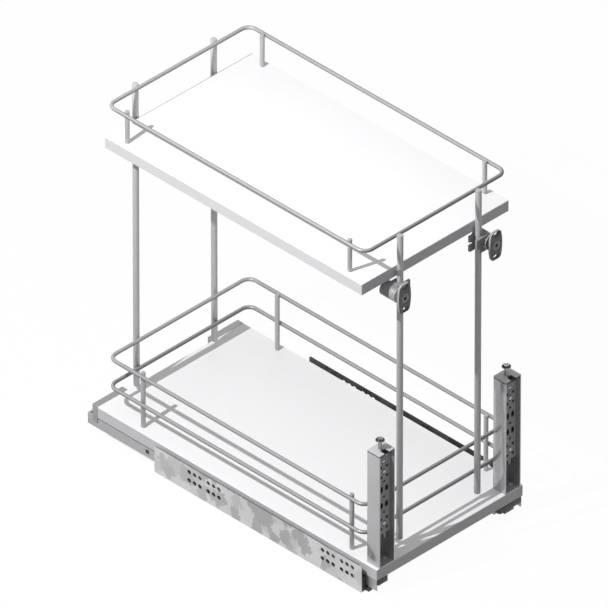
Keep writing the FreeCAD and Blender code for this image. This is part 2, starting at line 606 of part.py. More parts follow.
def rear_bracket():
    """The bracket on the shelf's rear edge that the end of the drawer rail hooks into."""
    y0 = FRONT + LOWER_DEPTH
    y1 = y0 + BRACKET_DEPTH
    foot = SHELF_TOP - BRACKET_DROP
    wall = BRACKET_WALL
    block = box(BRACKET_X, HALF_WIDTH, y0, y1, SHELF_UNDER, SHELF_TOP)
    hollow = box(BRACKET_X + wall, HALF_WIDTH - wall, y0 + wall, y1 - wall, SHELF_UNDER + wall, SHELF_TOP - wall)
    side = box(HALF_WIDTH - DRAWER_RAIL_INSET + BRACKET_SIDE_GAP, HALF_WIDTH, y0, y1, foot, SHELF_UNDER)
    wing = box(BRACKET_X, RUNNER_X - DRAWER_HALF - BRACKET_WING_GAP, y0, y1, foot, SHELF_UNDER)
    bracket = join([block.cut(hollow), side, wing])
    corner = V(HALF_WIDTH, y1, SHELF_TOP)
    edges = [edge for edge in bracket.Edges if edge.distToShape(Part.Vertex(corner))[0] < FIT
             and abs(edge.BoundBox.XMin - HALF_WIDTH) < FIT and edge.BoundBox.ZLength > BRACKET_ROUND]
    bracket = bracket.makeFillet(BRACKET_ROUND, edges)
    bores = [bar_y(x, EDGE_SCREW_Z, y0, y1, SMALL_SCREW) for x in BRACKET_SCREW_XS]
    wells = [bar_y(x, EDGE_SCREW_Z, y0 + 2 * wall, y1, SMALL_SCREW_HEAD + PLAY) for x in BRACKET_SCREW_XS]
    return bracket.cut(bores + wells)


def bracket_screws():
    """The screws of one rear bracket, forwards into the shelf's rear edge."""
    edge = FRONT + LOWER_DEPTH
    seat = edge + 2 * BRACKET_WALL
    screws = []
    for x in BRACKET_SCREW_XS:
        head = bar_y(x, EDGE_SCREW_Z, seat, seat + SMALL_SCREW_HEAD_THICK, SMALL_SCREW_HEAD)
        shank = bar_y(x, EDGE_SCREW_Z, edge - EDGE_SCREW_BITE, seat, SMALL_SCREW)
        screws.append(join([head, shank]))
    return screws


def door_column():
    """A channel open to the front, with a slotted cap and a foot that is screwed to the shelf."""
    left = COLUMN_X - COLUMN_WIDTH / 2
    right = COLUMN_X + COLUMN_WIDTH / 2
    back = FRONT + COLUMN_DEPTH
    line = ((left, FRONT), (left, back), (right, back), (right, FRONT))
    channel = folded([V(x, y, SHELF_TOP) for x, y in line], COLUMN_SHEET, V(0, 0, COLUMN_HEIGHT))
    left += COLUMN_SHEET / 2
    right -= COLUMN_SHEET / 2
    inside = back - COLUMN_SHEET / 2
    low = COLUMN_TOP - COLUMN_SHEET
    floor = SHELF_TOP + COLUMN_SHEET
    cap = box(left, right, FRONT, inside, low, COLUMN_TOP)
    foot = box(left, right, FRONT + COLUMN_FOOT_SETBACK, inside, SHELF_TOP, floor)
    seat = FRONT + SCREW_SETBACK
    neck = SCREW_NECK / 2 + FIT
    mouth = COLUMN_MOUTH / 2
    cuts = [box(COLUMN_X - mouth, COLUMN_X + mouth, FRONT, FRONT + COLUMN_MOUTH_DEPTH, low, COLUMN_TOP),
            box(COLUMN_X - neck, COLUMN_X + neck, FRONT, seat, low, COLUMN_TOP),
            bar_z(COLUMN_X, seat, low, COLUMN_TOP, 2 * neck)]
    cuts += [bar_z(x, y, SHELF_TOP, floor, COLUMN_SCREW) for x, y in column_screw_places()]
    cuts += [bar_y(COLUMN_X, z, back - COLUMN_SHEET, back, STUD) for z in stud_heights()]
    return join([channel, cap, foot]).cut(cuts)


def column_screw_places():
    """Where a column's two foot screws sit, across and along the object."""
    y = FRONT + COLUMN_SCREW_SETBACK
    return ((COLUMN_X - COLUMN_SCREW_X, y), (COLUMN_X + COLUMN_SCREW_X, y))


def stud_heights():
    """The heights of the two studs that guide a door plate."""
    return (PLATE_TOP - STUD_FROM_TOP, PLATE_FOOT + STUD_FROM_FOOT)


def plate_studs():
    """The headed studs riveted into one column's back, which guide its door plate."""
    under = FRONT + PLATE_RECESS - FIT
    front = under - STUD_HEAD_THICK
    studs = []
    for z in stud_heights():
        head = bar_y(COLUMN_X, z, front, under, STUD_HEAD)
        shank = bar_y(COLUMN_X, z, front + STUD_HEAD_THICK / 2, FRONT + COLUMN_DEPTH, STUD)
        studs.append(join([head, shank]))
    return studs


def door_plate():
    """The perforated plate that the door is screwed to. It slides up and down in its column."""
    face = FRONT + PLATE_RECESS
    rim = face + PLATE_FLANGE
    line = ((-PLATE_HALF, rim), (-PLATE_HALF, face), (PLATE_HALF, face), (PLATE_HALF, rim))
    points = [V(COLUMN_X + x, y, PLATE_FOOT) for x, y in line]
    plate = folded(points, PLATE_SHEET, V(0, 0, PLATE_HEIGHT))
    half = PLATE_HALF - LUG_INSET
    under = PLATE_TOP - LUG_THICK
    lug = box(COLUMN_X - half, COLUMN_X + half, face + PLATE_SHEET / 2, face + LUG_DEPTH, under, PLATE_TOP)
    tab = box(COLUMN_X - PLATE_TAB_INNER, COLUMN_X + PLATE_TAB_OUTER, face, face + PLATE_SHEET,
              PLATE_FOOT - PLATE_TAB, PLATE_FOOT)
    cuts = [bar_z(COLUMN_X, FRONT + SCREW_SETBACK, under, PLATE_TOP, SCREW_SHANK + PLAY)]
    behind = face + PLATE_SHEET
    stud_room = STUD + STUD_PLAY
    for z in stud_heights():
        cuts.append(slot_y(COLUMN_X, z, face, behind, stud_room + 2 * HEIGHT_TRAVEL, stud_room, True))
        for side in (-1, 1):
            for rise in (-PLATE_STUD_HOLE_RISE, PLATE_STUD_HOLE_RISE):
                x = COLUMN_X + side * PLATE_STUD_HOLE_SPREAD / 2
                cuts.append(bar_y(x, z + rise, face, behind, PLATE_STUD_HOLE))
    middle = sum(stud_heights()) / 2 + PLATE_SLOT_LIFT
    for z in (middle + PLATE_SLOT_STEP / 2, middle - PLATE_SLOT_STEP / 2):
        for side in (-1, 1):
            x = COLUMN_X + side * PLATE_SLOT_SPREAD / 2
            cuts.append(slot_y(x, z, face, behind, PLATE_SLOT_LENGTH, PLATE_SLOT, True))
    for rise in (-PLATE_HOLE_STEP, 0, PLATE_HOLE_STEP):
        cuts.append(bar_y(COLUMN_X, middle + rise, face, behind, PLATE_HOLE))
    top_slot = PLATE_TOP - PLATE_TOP_SLOT_DROP
    cuts.append(slot_y(COLUMN_X, top_slot, face, behind, PLATE_TOP_SLOT_LENGTH, PLATE_TOP_SLOT, False))
    return join([plate, lug, tab]).cut(cuts)


def height_screw():
    """The screw on a column's cap. Its neck turns in the cap's slot and its thread lifts the door plate."""
    y = FRONT + SCREW_SETBACK
    neck_low = COLUMN_TOP - COLUMN_SHEET - FIT
    neck_high = COLUMN_TOP + FIT
    head_low = COLUMN_TOP + SCREW_STAND
    below = tipped_bar(COLUMN_X, y, PLATE_TOP - LUG_THICK - SCREW_TIP, neck_low, SCREW_SHANK)
    neck = bar_z(COLUMN_X, y, neck_low - SCREW_BLEND, neck_high + SCREW_BLEND, SCREW_NECK)
    above = bar_z(COLUMN_X, y, neck_high, head_low + SCREW_BLEND, SCREW_SHANK)
    centre = V(0, 0, head_low)
    under, rim, shoulder, crown = [V(SCREW_HEAD / 2 * across, 0, head_low + SCREW_HEAD_THICK * up)
                                   for across, up in SCREW_PROFILE]
    edges = [Part.LineSegment(centre, under).toShape(),
             Part.LineSegment(under, rim).toShape(),
             Part.Arc(rim, shoulder, crown).toShape(),
             Part.LineSegment(crown, centre).toShape()]
    head = Part.Face(Part.Wire(edges)).revolve(V(0, 0, 0), V(0, 0, 1), 360)
    head.translate(V(COLUMN_X, y, 0))
    recess = cross_recess(COLUMN_X, y, head_low + SCREW_HEAD_THICK * SCREW_RECESS, SCREW_HEAD)
    return join([below, neck, above, head.cut(recess)])


def column_screws():
    """The round-headed screws in one column's foot."""
    seat = SHELF_TOP + COLUMN_SHEET
    return [pan_screw_down(x, y, seat, COLUMN_SCREW_HEAD, COLUMN_SCREW, COLUMN_SHEET + COLUMN_SCREW_BITE)
            for x, y in column_screw_places()]


def rod_room():
    """The bore round a front rod, in the clip that snaps on it."""
    return bar_z(ROD_X, ROD_FRONT, CLIP_Z - CLIP_BARREL, CLIP_Z + CLIP_BARREL, ROD + 2 * JAW_PLAY)


def clip_body():
    """The dark clip that snaps on a front rod: a barrel, a core for the sleeve and two jaws."""
    barrel = bar_y(CLIP_X, CLIP_Z, SLEEVE_BACK, CLIP_END, CLIP_BARREL)
    core = bar_y(CLIP_X, CLIP_Z, SLEEVE_FRONT, CLIP_END, CORE)
    jaw_end = ROD_X - JAW_REACH
    rear_jaw = ROD_FRONT + ROD / 2 + JAW_PLAY
    front_jaw = ROD_FRONT - ROD / 2 - JAW_PLAY
    strap_front = front_jaw - JAW_THICK
    low = CLIP_Z - JAW_HEIGHT / 2
    high = CLIP_Z + JAW_HEIGHT / 2
    strap_low = high - JAW_STRAP
    heel = box(ROD_X, CLIP_X, SLEEVE_BACK, rear_jaw + JAW_THICK, low, high)
    strap = box(jaw_end, CLIP_X - CORE / 4, strap_front, front_jaw, strap_low, high)
    lower = box(ROD_X - ROD / 2, CLIP_X - CORE / 4, strap_front + JAW_STEP, front_jaw, low, high)
    bridge = box(ROD_X + ROD / 2, CLIP_X, strap_front + JAW_STEP, SLEEVE_BACK, low, high)
    prongs = box(jaw_end, CLIP_X, rear_jaw, rear_jaw + JAW_THICK, low, high)
    notch = box(jaw_end, jaw_end + JAW_NOTCH_DEPTH, rear_jaw, rear_jaw + JAW_THICK,
                CLIP_Z - JAW_NOTCH / 2, CLIP_Z + JAW_NOTCH / 2)
    sleeve_room = bar_y(CLIP_X, CLIP_Z, SLEEVE_FRONT, SLEEVE_BACK, CLIP_BARREL + 2 * SLEEVE_PLAY)
    jaws = join([strap, lower, bridge]).cut(sleeve_room)
    screw_bore = bar_y(CLIP_X, CLIP_Z, SLEEVE_FRONT, CLIP_SCREW_END + CLIP_SCREW_ROOM, CLIP_SCREW + PLAY)
    dimple = bar_y(ROD_X - JAW_DIMPLE_OFFSET, strap_low + JAW_DIMPLE_RISE, strap_front,
                   strap_front + JAW_DIMPLE_DEPTH, JAW_DIMPLE)
    return join([barrel, core, heel, prongs, jaws]).cut([rod_room(), notch, screw_bore, dimple])


def clip_sleeve():
    """The light metal sleeve round the clip's core, cut away where the rod passes."""
    ring = bar_y(CLIP_X, CLIP_Z, SLEEVE_FRONT, SLEEVE_BACK, CLIP_BARREL)
    return ring.cut([bar_y(CLIP_X, CLIP_Z, SLEEVE_FRONT, SLEEVE_BACK, CORE), rod_room()])


def clip_face():
    """The face plate that the door is screwed to, with its collar. It moves in and out of the clip."""
    face = CLIP_FACE
    half_high = FACE_HEIGHT / 2
    half_end = FACE_END_WIDTH / 2
    belly = FACE_WIDTH / 2
    shoulder = half_high - FACE_CLIP
    edges = []
    for side in (1, -1):
        top = V(CLIP_X + side * half_end, face, CLIP_Z + side * shoulder)
        low = V(CLIP_X + side * half_end, face, CLIP_Z - side * shoulder)
        middle = V(CLIP_X + side * belly, face, CLIP_Z)
        corner = V(CLIP_X + side * (half_end - FACE_CLIP), face, CLIP_Z - side * half_high)
        across = V(CLIP_X - side * (half_end - FACE_CLIP), face, CLIP_Z - side * half_high)
        following = V(CLIP_X - side * half_end, face, CLIP_Z - side * shoulder)
        edges.append(Part.Arc(top, middle, low).toShape())
        edges.append(Part.LineSegment(low, corner).toShape())
        edges.append(Part.LineSegment(corner, across).toShape())
        edges.append(Part.LineSegment(across, following).toShape())
    plate = Part.Face(Part.Wire(edges)).extrude(V(0, FACE_THICK, 0))
    behind = face + FACE_THICK
    collar_end = SLEEVE_FRONT - COLLAR_GAP
    collar = bar_y(CLIP_X, CLIP_Z, behind, collar_end, CLIP_BARREL - 2 * COLLAR_STEP)
    cuts = [bar_y(CLIP_X, CLIP_Z, face, collar_end, CLIP_SCREW + PLAY),
            bar_y(CLIP_X, CLIP_Z, face, face + FACE_SINK, CLIP_SCREW_HEAD + PLAY)]
    sink_rim = 2 * FACE_SINK_RIM
    for side in (-1, 1):
        z = CLIP_Z + side * FACE_SLOT_STEP / 2
        cuts.append(slot_y(CLIP_X, z, face, behind, FACE_SLOT_LENGTH, FACE_SLOT, False))
        cuts.append(slot_y(CLIP_X, z, face, face + FACE_SINK, FACE_SLOT_LENGTH + sink_rim,
                           FACE_SLOT + sink_rim, False))
    return join([plate, collar]).cut(cuts)


def clip_screw():
    """The screw in the middle of a face plate. It turns in the plate and its thread draws the plate in."""
    front = CLIP_FACE - CLIP_SCREW_PROUD
    head = bar_y(CLIP_X, CLIP_Z, front, CLIP_FACE + FACE_SINK - FIT, CLIP_SCREW_HEAD)
    shank = bar_y(CLIP_X, CLIP_Z, CLIP_FACE, CLIP_SCREW_END, CLIP_SCREW)
    radius = HEX_SOCKET / 2 / math.cos(math.pi / HEX_SIDES)
    angles = [2 * math.pi * side / HEX_SIDES for side in range(HEX_SIDES + 1)]
    corners = [V(CLIP_X + radius * math.cos(a), front, CLIP_Z + radius * math.sin(a)) for a in angles]
    socket = Part.Face(Part.makePolygon(corners)).extrude(V(0, HEX_SOCKET_DEPTH, 0))
    return join([head, shank]).cut(socket)


def save(name, shape):
    """Write one piece, and say what it holds."""
    broken = [solid for solid in shape.Solids if not solid.isValid()]
    print(name, len(shape.Solids), "solids", round(shape.Volume), "mm3", "BROKEN" if broken else "")
    shape.exportStep("parts/" + name + ".step")


def save_pair(name, shape):
    """Write a piece and its mirror image."""
    save(name + "_right", shape)
    save(name + "_left", mirrored(shape))


def both(solids):
    """A group of small pieces on the right side, with their mirror images, as one node."""
    return Part.makeCompound(solids + [mirrored(solid) for solid in solids])


def shelf_bores():
    """The blind holes in the lower shelf for the columns', locks' and brackets' screws."""
    edge = FRONT + LOWER_DEPTH
    bores = [bar_z(x, y, SHELF_TOP - COLUMN_SCREW_BITE, SHELF_TOP, COLUMN_SCREW)
             for x, y in column_screw_places()]
    bores += [bar_z(LOCK_X, y, SHELF_UNDER, SHELF_UNDER + SMALL_SCREW_BITE, SMALL_SCREW) for y in LOCK_SCREW_YS]
    bores += [bar_y(x, EDGE_SCREW_Z, edge - EDGE_SCREW_BITE, edge, SMALL_SCREW) for x in BRACKET_SCREW_XS]
    return bores + [mirrored(bore) for bore in bores]


def make_runners():
    """The telescopic runners on both sides."""
    lower = TRACK_HALF - LOWER_ROLLER_INSET
    upper = MIDDLE_HALF_TOP - UPPER_ROLLER_INSET
    save_pair("cabinet_rail", cabinet_rail())
    save_pair("rail_guide", rail_guide())
    save_pair("middle_rail", middle_rail())
    save_pair("drawer_rail", drawer_rail())
    save_pair("lower_roller_cage",
              roller_cage(TRACK_HEIGHT, LOWER_ROLLER, lower, LOWER_CAGE_ROLLERS, LOWER_CAGE_THICK))
    save_pair("upper_roller_cage",
              roller_cage(MIDDLE_TOP, UPPER_ROLLER, upper, UPPER_CAGE_ROLLERS, UPPER_CAGE_THICK))


def make_shelves():
    """Both boards with their galleries, posts and rods."""
    upper_posts = post_places(UPPER_POST_FRONT, UPPER_POST_REAR)
    lower_posts = post_places(LOWER_POST_FRONT, LOWER_POST_REAR)
    upper_places = [(x, y) for _, x, y in upper_posts]
    lower_places = [(x, y) for _, x, y in lower_posts]
    save("lower_shelf", shelf(FRONT, FRONT + LOWER_DEPTH, SHELF_TOP, lower_places, shelf_bores()))
    save("upper_shelf", shelf(WIRE_FRONT, WIRE_REAR, UPPER_TOP, upper_places, []))
    for name, x, y in upper_posts:
        save("upper_post_" + name, post(x, y, UPPER_TOP, TIP_TOP))
    for name, x, y in lower_posts:
        save("lower_post_" + name, post(x, y, SHELF_TOP, SHELF_TOP + LOWER_WIRE_HIGH + TIP_PROUD))
    for name, places, top in (("upper", upper_places, UPPER_TOP), ("lower", lower_places, SHELF_TOP)):
        screws = [countersunk_screw(x, y, top - BOARD, POST_SCREW_HEAD, POST_SCREW, BOARD + POST_SCREW_BITE)
                  for x, y in places]
        save(name + "_post_screws", Part.makeCompound(screws))
    save("upper_gallery_wire", gallery_wire(UPPER_TOP + UPPER_WIRE_HEIGHT))
    save("lower_gallery_bottom_wire", gallery_wire(SHELF_TOP + LOWER_WIRE_LOW))
    save("lower_gallery_top_wire", gallery_wire(SHELF_TOP + LOWER_WIRE_HIGH))
    save_pair("rod_front", tipped_bar(ROD_X, ROD_FRONT, SHELF_TOP + ROD_HOVER, TIP_TOP, ROD))
    save_pair("rod_rear", tipped_bar(ROD_X, ROD_REAR, SHELF_TOP + ROD_HOVER, TIP_TOP, ROD))


def make_door_fixings():
    """The columns, plates and clips that carry the cabinet door."""
    save_pair("door_column", door_column())
    save_pair("door_plate", door_plate())
    save_pair("height_screw", height_screw())
    save("plate_studs", both(plate_studs()))
    save("column_screws", both(column_screws()))
    save_pair("clip_body", clip_body())
    save_pair("clip_sleeve", clip_sleeve())
    save_pair("clip_face", clip_face())
    save_pair("clip_screw", clip_screw())


def make_underside():
    """The locking devices at the front and the brackets at the rear."""
    save("front_lock_right", front_lock(LOCK_REACH_RIGHT, True))
    save("front_lock_left", mirrored(front_lock(LOCK_REACH_LEFT, False)))
    save("lock_lever_right", lock_lever(True))
    save("lock_lever_left", mirrored(lock_lever(False)))
    save("lock_screws", both(lock_screws()))
    save_pair("rear_bracket", rear_bracket())
    save("bracket_screws", both(bracket_screws()))


os.makedirs("parts", exist_ok=True)
make_runners()
make_shelves()
make_door_fixings()
make_underside()
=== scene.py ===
# %% [markdown]
# # A pull-out organiser for a narrow base cabinet
#
# The real object is a pair of white boards on drawer runners. Bent wire keeps packets from
# falling off, four tall rods carry the upper board, and two folded steel columns and two clips
# hold the cabinet door. This lesson dresses the exact CAD solids: a solid whose shape is already
# right gets a real finish, and a piece with round or softened shapes is modelled again with the
# operators that one would use by hand.

# %% Load the CAD frame
import json
import math

import bmesh
import bpy
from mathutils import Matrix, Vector


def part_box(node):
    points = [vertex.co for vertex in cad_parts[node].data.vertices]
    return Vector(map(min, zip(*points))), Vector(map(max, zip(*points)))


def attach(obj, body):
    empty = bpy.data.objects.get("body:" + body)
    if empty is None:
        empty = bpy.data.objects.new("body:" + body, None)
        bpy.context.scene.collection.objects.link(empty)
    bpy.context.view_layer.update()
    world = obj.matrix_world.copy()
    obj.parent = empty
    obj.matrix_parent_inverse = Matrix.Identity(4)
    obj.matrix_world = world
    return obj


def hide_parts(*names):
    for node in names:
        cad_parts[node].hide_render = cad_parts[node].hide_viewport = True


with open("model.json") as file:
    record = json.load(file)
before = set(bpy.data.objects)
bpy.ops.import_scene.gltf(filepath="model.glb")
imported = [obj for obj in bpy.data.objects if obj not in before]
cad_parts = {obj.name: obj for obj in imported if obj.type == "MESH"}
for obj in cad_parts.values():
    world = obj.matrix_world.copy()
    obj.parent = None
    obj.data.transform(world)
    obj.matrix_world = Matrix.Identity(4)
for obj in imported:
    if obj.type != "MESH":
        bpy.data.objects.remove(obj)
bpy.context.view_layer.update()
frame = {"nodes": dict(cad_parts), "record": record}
nodes = frame["nodes"]
MM = 0.001
SIDES = ("left", "right")

# %% [markdown]
# ## The camera
#
# The object is drawn in true isometric: the camera looks down at 35.26 degrees, turned 45
# degrees to the left of the front. A flat, parallel view could be made with an orthographic
# camera, but a very long lens from far away gives the same picture to within a pixel, and it
# still finds the right distance when the view moves round the object.

# %% Set up the camera
VIEW_TURN = math.radians(-45)
VIEW_DOWN = math.atan(math.sqrt(0.5))
LENS = 1650
SENSOR = 36
FRAME_WIDTH = 0.7216
TARGET = Vector((0.0, 0.001, 0.240))
SEES_FROM, SEES_TO = 1, 100

away = Vector((math.sin(VIEW_TURN) * math.cos(VIEW_DOWN),
               -math.cos(VIEW_TURN) * math.cos(VIEW_DOWN),
               math.sin(VIEW_DOWN)))
distance = FRAME_WIDTH * LENS / SENSOR
bpy.ops.object.camera_add(location=TARGET + away * distance)
camera = bpy.context.object
camera.name = "camera"
camera.data.lens = LENS
camera.data.sensor_width = SENSOR
camera.data.clip_start = SEES_FROM
camera.data.clip_end = SEES_TO
camera.rotation_mode = "QUATERNION"
camera.rotation_quaternion = (-away).to_track_quat("-Z", "Y")
bpy.context.scene.camera = camera
bpy.context.scene.view_settings.view_transform = "Standard"
print("camera:", round(distance, 2), "m away")

# %% [markdown]
# ## Helpers for colours, pattern sizes and shader nodes
#
# Colours are written as sRGB hex, as a paint chart gives them, but shaders count in linear
# light, so one function turns them. A second turns the real size of a pattern into a texture
# scale. A third adds any shader node with its settings and its links, and that is all that the
# background and every finish are built with.

# %% Colour, size and node helpers
def linear(code):
    """An sRGB hex colour as the linear values that shaders take."""
    channels = [int(code[i:i + 2], 16) / 255 for i in (0, 2, 4)]
    return [c / 12.92 if c <= 0.04045 else ((c + 0.055) / 1.055) ** 2.4 for c in channels] + [1.0]


def per_size(millimetres):
    """The texture scale whose pattern repeats about every so many millimetres."""
    return 1 / (millimetres * MM)


def add_node(tree, kind, settings=None, links=None):
    """Adds a node. Settings are for its sockets, by name or number, its properties or its stops."""
    node = tree.nodes.new("ShaderNode" + kind)
    for name, value in (settings or {}).items():
        if name == "stops":
            stops = node.color_ramp.elements
            while len(stops) < len(value):
                stops.new(0.5)
            for stop, (place, code) in zip(stops, value):
                stop.position = place
                stop.color = linear(code)
        elif isinstance(name, int) or name in node.inputs:
            node.inputs[name].default_value = value
        else:
            setattr(node, name, value)
    for name, output in (links or {}).items():
        tree.links.new(output, node.inputs[name])
    return node


# %% [markdown]
# ## The world
#
# The object stands on white with hardly a shadow. Light from a pure white world would flatten
# everything, so the white is only what the camera and reflections see, and a much weaker, even
# light reaches the surfaces.

# %% Make the world
FILL_STRENGTH = 0.42

world = bpy.data.worlds.new("studio")
bpy.context.scene.world = world
world.use_nodes = True
world.node_tree.nodes.clear()


def seen_directly(tree):
    """One where a ray comes from the camera, a reflection or a clear material, otherwise none."""
    rays = add_node(tree, "LightPath")
    either = add_node(tree, "Math", {"operation": "MAXIMUM"},
                      {0: rays.outputs["Is Camera Ray"], 1: rays.outputs["Is Glossy Ray"]})
    any_of_three = add_node(tree, "Math", {"operation": "MAXIMUM"},
                            {0: either.outputs[0], 1: rays.outputs["Is Transmission Ray"]})
    return any_of_three.outputs[0]


seen = seen_directly(world.node_tree)
strength = add_node(world.node_tree, "MapRange", {"To Min": FILL_STRENGTH, "To Max": 1.0},
                    {"Value": seen})
sky = add_node(world.node_tree, "Background", {"Color": linear("FFFFFF")},
               {"Strength": strength.outputs["Result"]})
add_node(world.node_tree, "OutputWorld", {}, {"Surface": sky.outputs["Background"]})
print("world: white to the eye,", FILL_STRENGTH, "as light")

# %% [markdown]
# ## The floor
#
# The floor is white to the eye in the same way, with enough real surface left to keep a shadow.
# Most of that surface is under the object, where the shade is deep and shows through the gaps
# and holes of the rails, so its share is worked out from the distance to the middle. The floor
# throws little light back up.

# %% Make the floor
FLOOR_SIZE = 12
FLOOR_DROP = 0.3 * MM
FLOOR_GRAIN = 25
FLOOR_WHITE_SHARE = 0.97
FLOOR_SHADE_SHARE = 0.65
FLOOR_TO_EYE = ("FAFAFB", "F6F6F7")
FLOOR_BOUNCE = "4A4A4B"
SHADE_ENDS = (0.122, 0.218)
SHADE_FADE = 0.02

bpy.ops.object.select_all(action="DESELECT")
bpy.ops.mesh.primitive_plane_add(size=FLOOR_SIZE, location=(0, 0, -FLOOR_DROP))
floor = bpy.context.object
floor.name = "floor"

paper = bpy.data.materials.new("matt white paper floor")
paper.use_nodes = True
tree = paper.node_tree
tree.nodes.clear()
seen = seen_directly(tree)
grain = add_node(tree, "TexNoise", {"Scale": per_size(FLOOR_GRAIN), "Detail": 3.0})
pale = add_node(tree, "MixRGB", {"Color1": linear(FLOOR_TO_EYE[0]), "Color2": linear(FLOOR_TO_EYE[1])},
                {"Fac": grain.outputs["Fac"]})
tone = add_node(tree, "MixRGB", {"Color1": linear(FLOOR_BOUNCE)},
                {"Fac": seen, "Color2": pale.outputs["Color"]})
surface = add_node(tree, "BsdfDiffuse", {}, {"Color": tone.outputs["Color"]})
glow = add_node(tree, "Emission", {"Color": linear("FFFFFF"), "Strength": 1.0})
where = add_node(tree, "SeparateXYZ", {}, {"Vector": add_node(tree, "TexCoord").outputs["Object"]})
within = []
for axis, end in zip("XY", SHADE_ENDS):
    off = add_node(tree, "Math", {"operation": "ABSOLUTE"}, {0: where.outputs[axis]})
    within.append(add_node(tree, "MapRange", {"From Min": end, "From Max": end - SHADE_FADE},
                           {"Value": off.outputs[0]}))
under = add_node(tree, "Math", {"operation": "MINIMUM"},
                 {0: within[0].outputs["Result"], 1: within[1].outputs["Result"]})
white = add_node(tree, "MapRange",
                 {"To Min": FLOOR_WHITE_SHARE, "To Max": FLOOR_WHITE_SHARE - FLOOR_SHADE_SHARE},
                 {"Value": under.outputs[0]})
share = add_node(tree, "Math", {"operation": "MULTIPLY"}, {0: white.outputs["Result"], 1: seen})
mixed = add_node(tree, "MixShader", {},
                 {"Fac": share.outputs[0], 1: surface.outputs["BSDF"], 2: glow.outputs["Emission"]})
add_node(tree, "OutputMaterial", {}, {"Surface": mixed.outputs["Shader"]})
floor.data.materials.append(paper)
print("floor:", FLOOR_SIZE, "m wide")

# %% [markdown]
# ## The lamp
#
# One small lamp stands high on the left, near enough that the wires throw clear shadows across
# the lower board and that the upper board gets more light than the lower one.

# %% Add the lamp
LAMP_PLACE = (-1.109, 0.087, 1.514)
LAMP_POWER = 97
LAMP_SIZE = 0.016

bpy.ops.object.light_add(type="POINT", location=LAMP_PLACE)
lamp = bpy.context.object
lamp.name = "lamp"
lamp.data.energy = LAMP_POWER
lamp.data.shadow_soft_size = LAMP_SIZE
print("lamp:", LAMP_POWER, "W")

# %% [markdown]
# ## A start for every finish
#
# Each finish starts as a principled surface with the roughness and metal share of the real
# material. Most of them need no more than two patterns, both worked out from the object's own
# coordinates: a slow one that drifts between two close tones, and a fine one that gives the
# surface its relief. One function makes all of those, so that a finish is described by its real
# sizes alone.

# %% Start a finish
def start_finish(name, metallic, roughness):
    """A new principled material, its tree and its shader."""
    material = bpy.data.materials.new(name)
    material.use_nodes = True
    tree = material.node_tree
    tree.nodes.clear()
    shader = add_node(tree, "BsdfPrincipled", {"Metallic": metallic, "Roughness": roughness})
    add_node(tree, "OutputMaterial", {}, {"Surface": shader.outputs["BSDF"]})
    return material, tree, shader


def put_on(material, shader, colour, gloss, relief):
    """Links a finish's colour, roughness and relief to its shader."""
    links = material.node_tree.links
    links.new(colour.outputs["Color"], shader.inputs["Base Color"])
    links.new(gloss.outputs["Result"], shader.inputs["Roughness"])
    links.new(relief.outputs["Normal"], shader.inputs["Normal"])
    print("finish:", material.name + ",", len(material.node_tree.nodes), "nodes")


def two_tone(name, tones, metallic, roughness, drift, grain, gloss, depth, drifting=False, drawn_out=1):
    """A finish that drifts between two tones, with a fine grain in its surface.

    drift and grain are each a size in millimetres and a level of detail. The roughness runs
    between the two values of gloss with the grain, or with the drift if it is drifting. The grain
    is depth millimetres deep and may be drawn out so many times along the object.
    """
    material, tree, shader = start_finish(name, metallic, roughness)
    where = add_node(tree, "TexCoord").outputs["Object"]
    along = where
    if drawn_out > 1:
        along = add_node(tree, "Mapping", {"Scale": (1.0, 1 / drawn_out, 1.0)},
                         {"Vector": where}).outputs["Vector"]
    slow = add_node(tree, "TexNoise", {"Scale": per_size(drift[0]), "Detail": drift[1]},
                    {"Vector": where}).outputs["Fac"]
    fine = add_node(tree, "TexNoise", {"Scale": per_size(grain[0]), "Detail": grain[1]},
                    {"Vector": along}).outputs["Fac"]
    mix = add_node(tree, "MixRGB", {"name": "tones", "Color1": linear(tones[0]), "Color2": linear(tones[1])},
                   {"Fac": slow})
    sheen = add_node(tree, "MapRange", {"To Min": gloss[0], "To Max": gloss[1]},
                     {"Value": slow if drifting else fine})
    relief = add_node(tree, "Bump", {"Distance": depth * MM}, {"Height": fine})
    put_on(material, shader, mix, sheen, relief)
    return material


# %% [markdown]
# ## White melamine board
#
# The shelves are chipboard with a white melamine foil pressed on. The foil is even and satin,
# with a very fine orange-peel grain. The edge band is drawn a shade greyer than the faces, partly
# its own tone and partly painted shade on the upright sides, and greyer still across the front and
# back as painted shade where the lamp does not reach. The grain is drawn at about two millimetres,
# coarser than the real one, so it shows.

# %% Melamine
PEEL = 2
PEEL_DEPTH = 0.02 * MM
PEEL_GLOSS = (0.38, 0.46)
CLOUD = 60
FACE_TONES = ("F8F7F9", "FBFAFB")
BAND_TONES = ("D8D7DA", "DDDCDF")
FRONT_BAND_SHADE = "CDCCCF"
FACE_LEVEL = (0.3, 0.7)

melamine, tree, shader = start_finish("white melamine foil", metallic=0.0, roughness=0.42)
where = add_node(tree, "TexCoord").outputs["Object"]
peel = add_node(tree, "TexNoise", {"Scale": per_size(PEEL), "Detail": 3.0}, {"Vector": where}).outputs["Fac"]
cloud = add_node(tree, "TexNoise", {"Scale": per_size(CLOUD), "Detail": 2.0},
                 {"Vector": where}).outputs["Fac"]
normal = add_node(tree, "NewGeometry").outputs["True Normal"]
turn = add_node(tree, "SeparateXYZ", {}, {"Vector": normal})
level = add_node(tree, "Math", {"operation": "ABSOLUTE"}, {0: turn.outputs["Z"]}).outputs[0]
ahead = add_node(tree, "Math", {"operation": "ABSOLUTE"}, {0: turn.outputs["Y"]}).outputs[0]
on_face = add_node(tree, "MapRange", {"From Min": FACE_LEVEL[0], "From Max": FACE_LEVEL[1]},
                   {"Value": level}).outputs["Result"]
# Painted shade: the edge band is a shade greyer than the faces, partly its own tone.
band = add_node(tree, "MixRGB", {"Color1": linear(BAND_TONES[0]), "Color2": linear(BAND_TONES[1])},
                {"Fac": cloud})
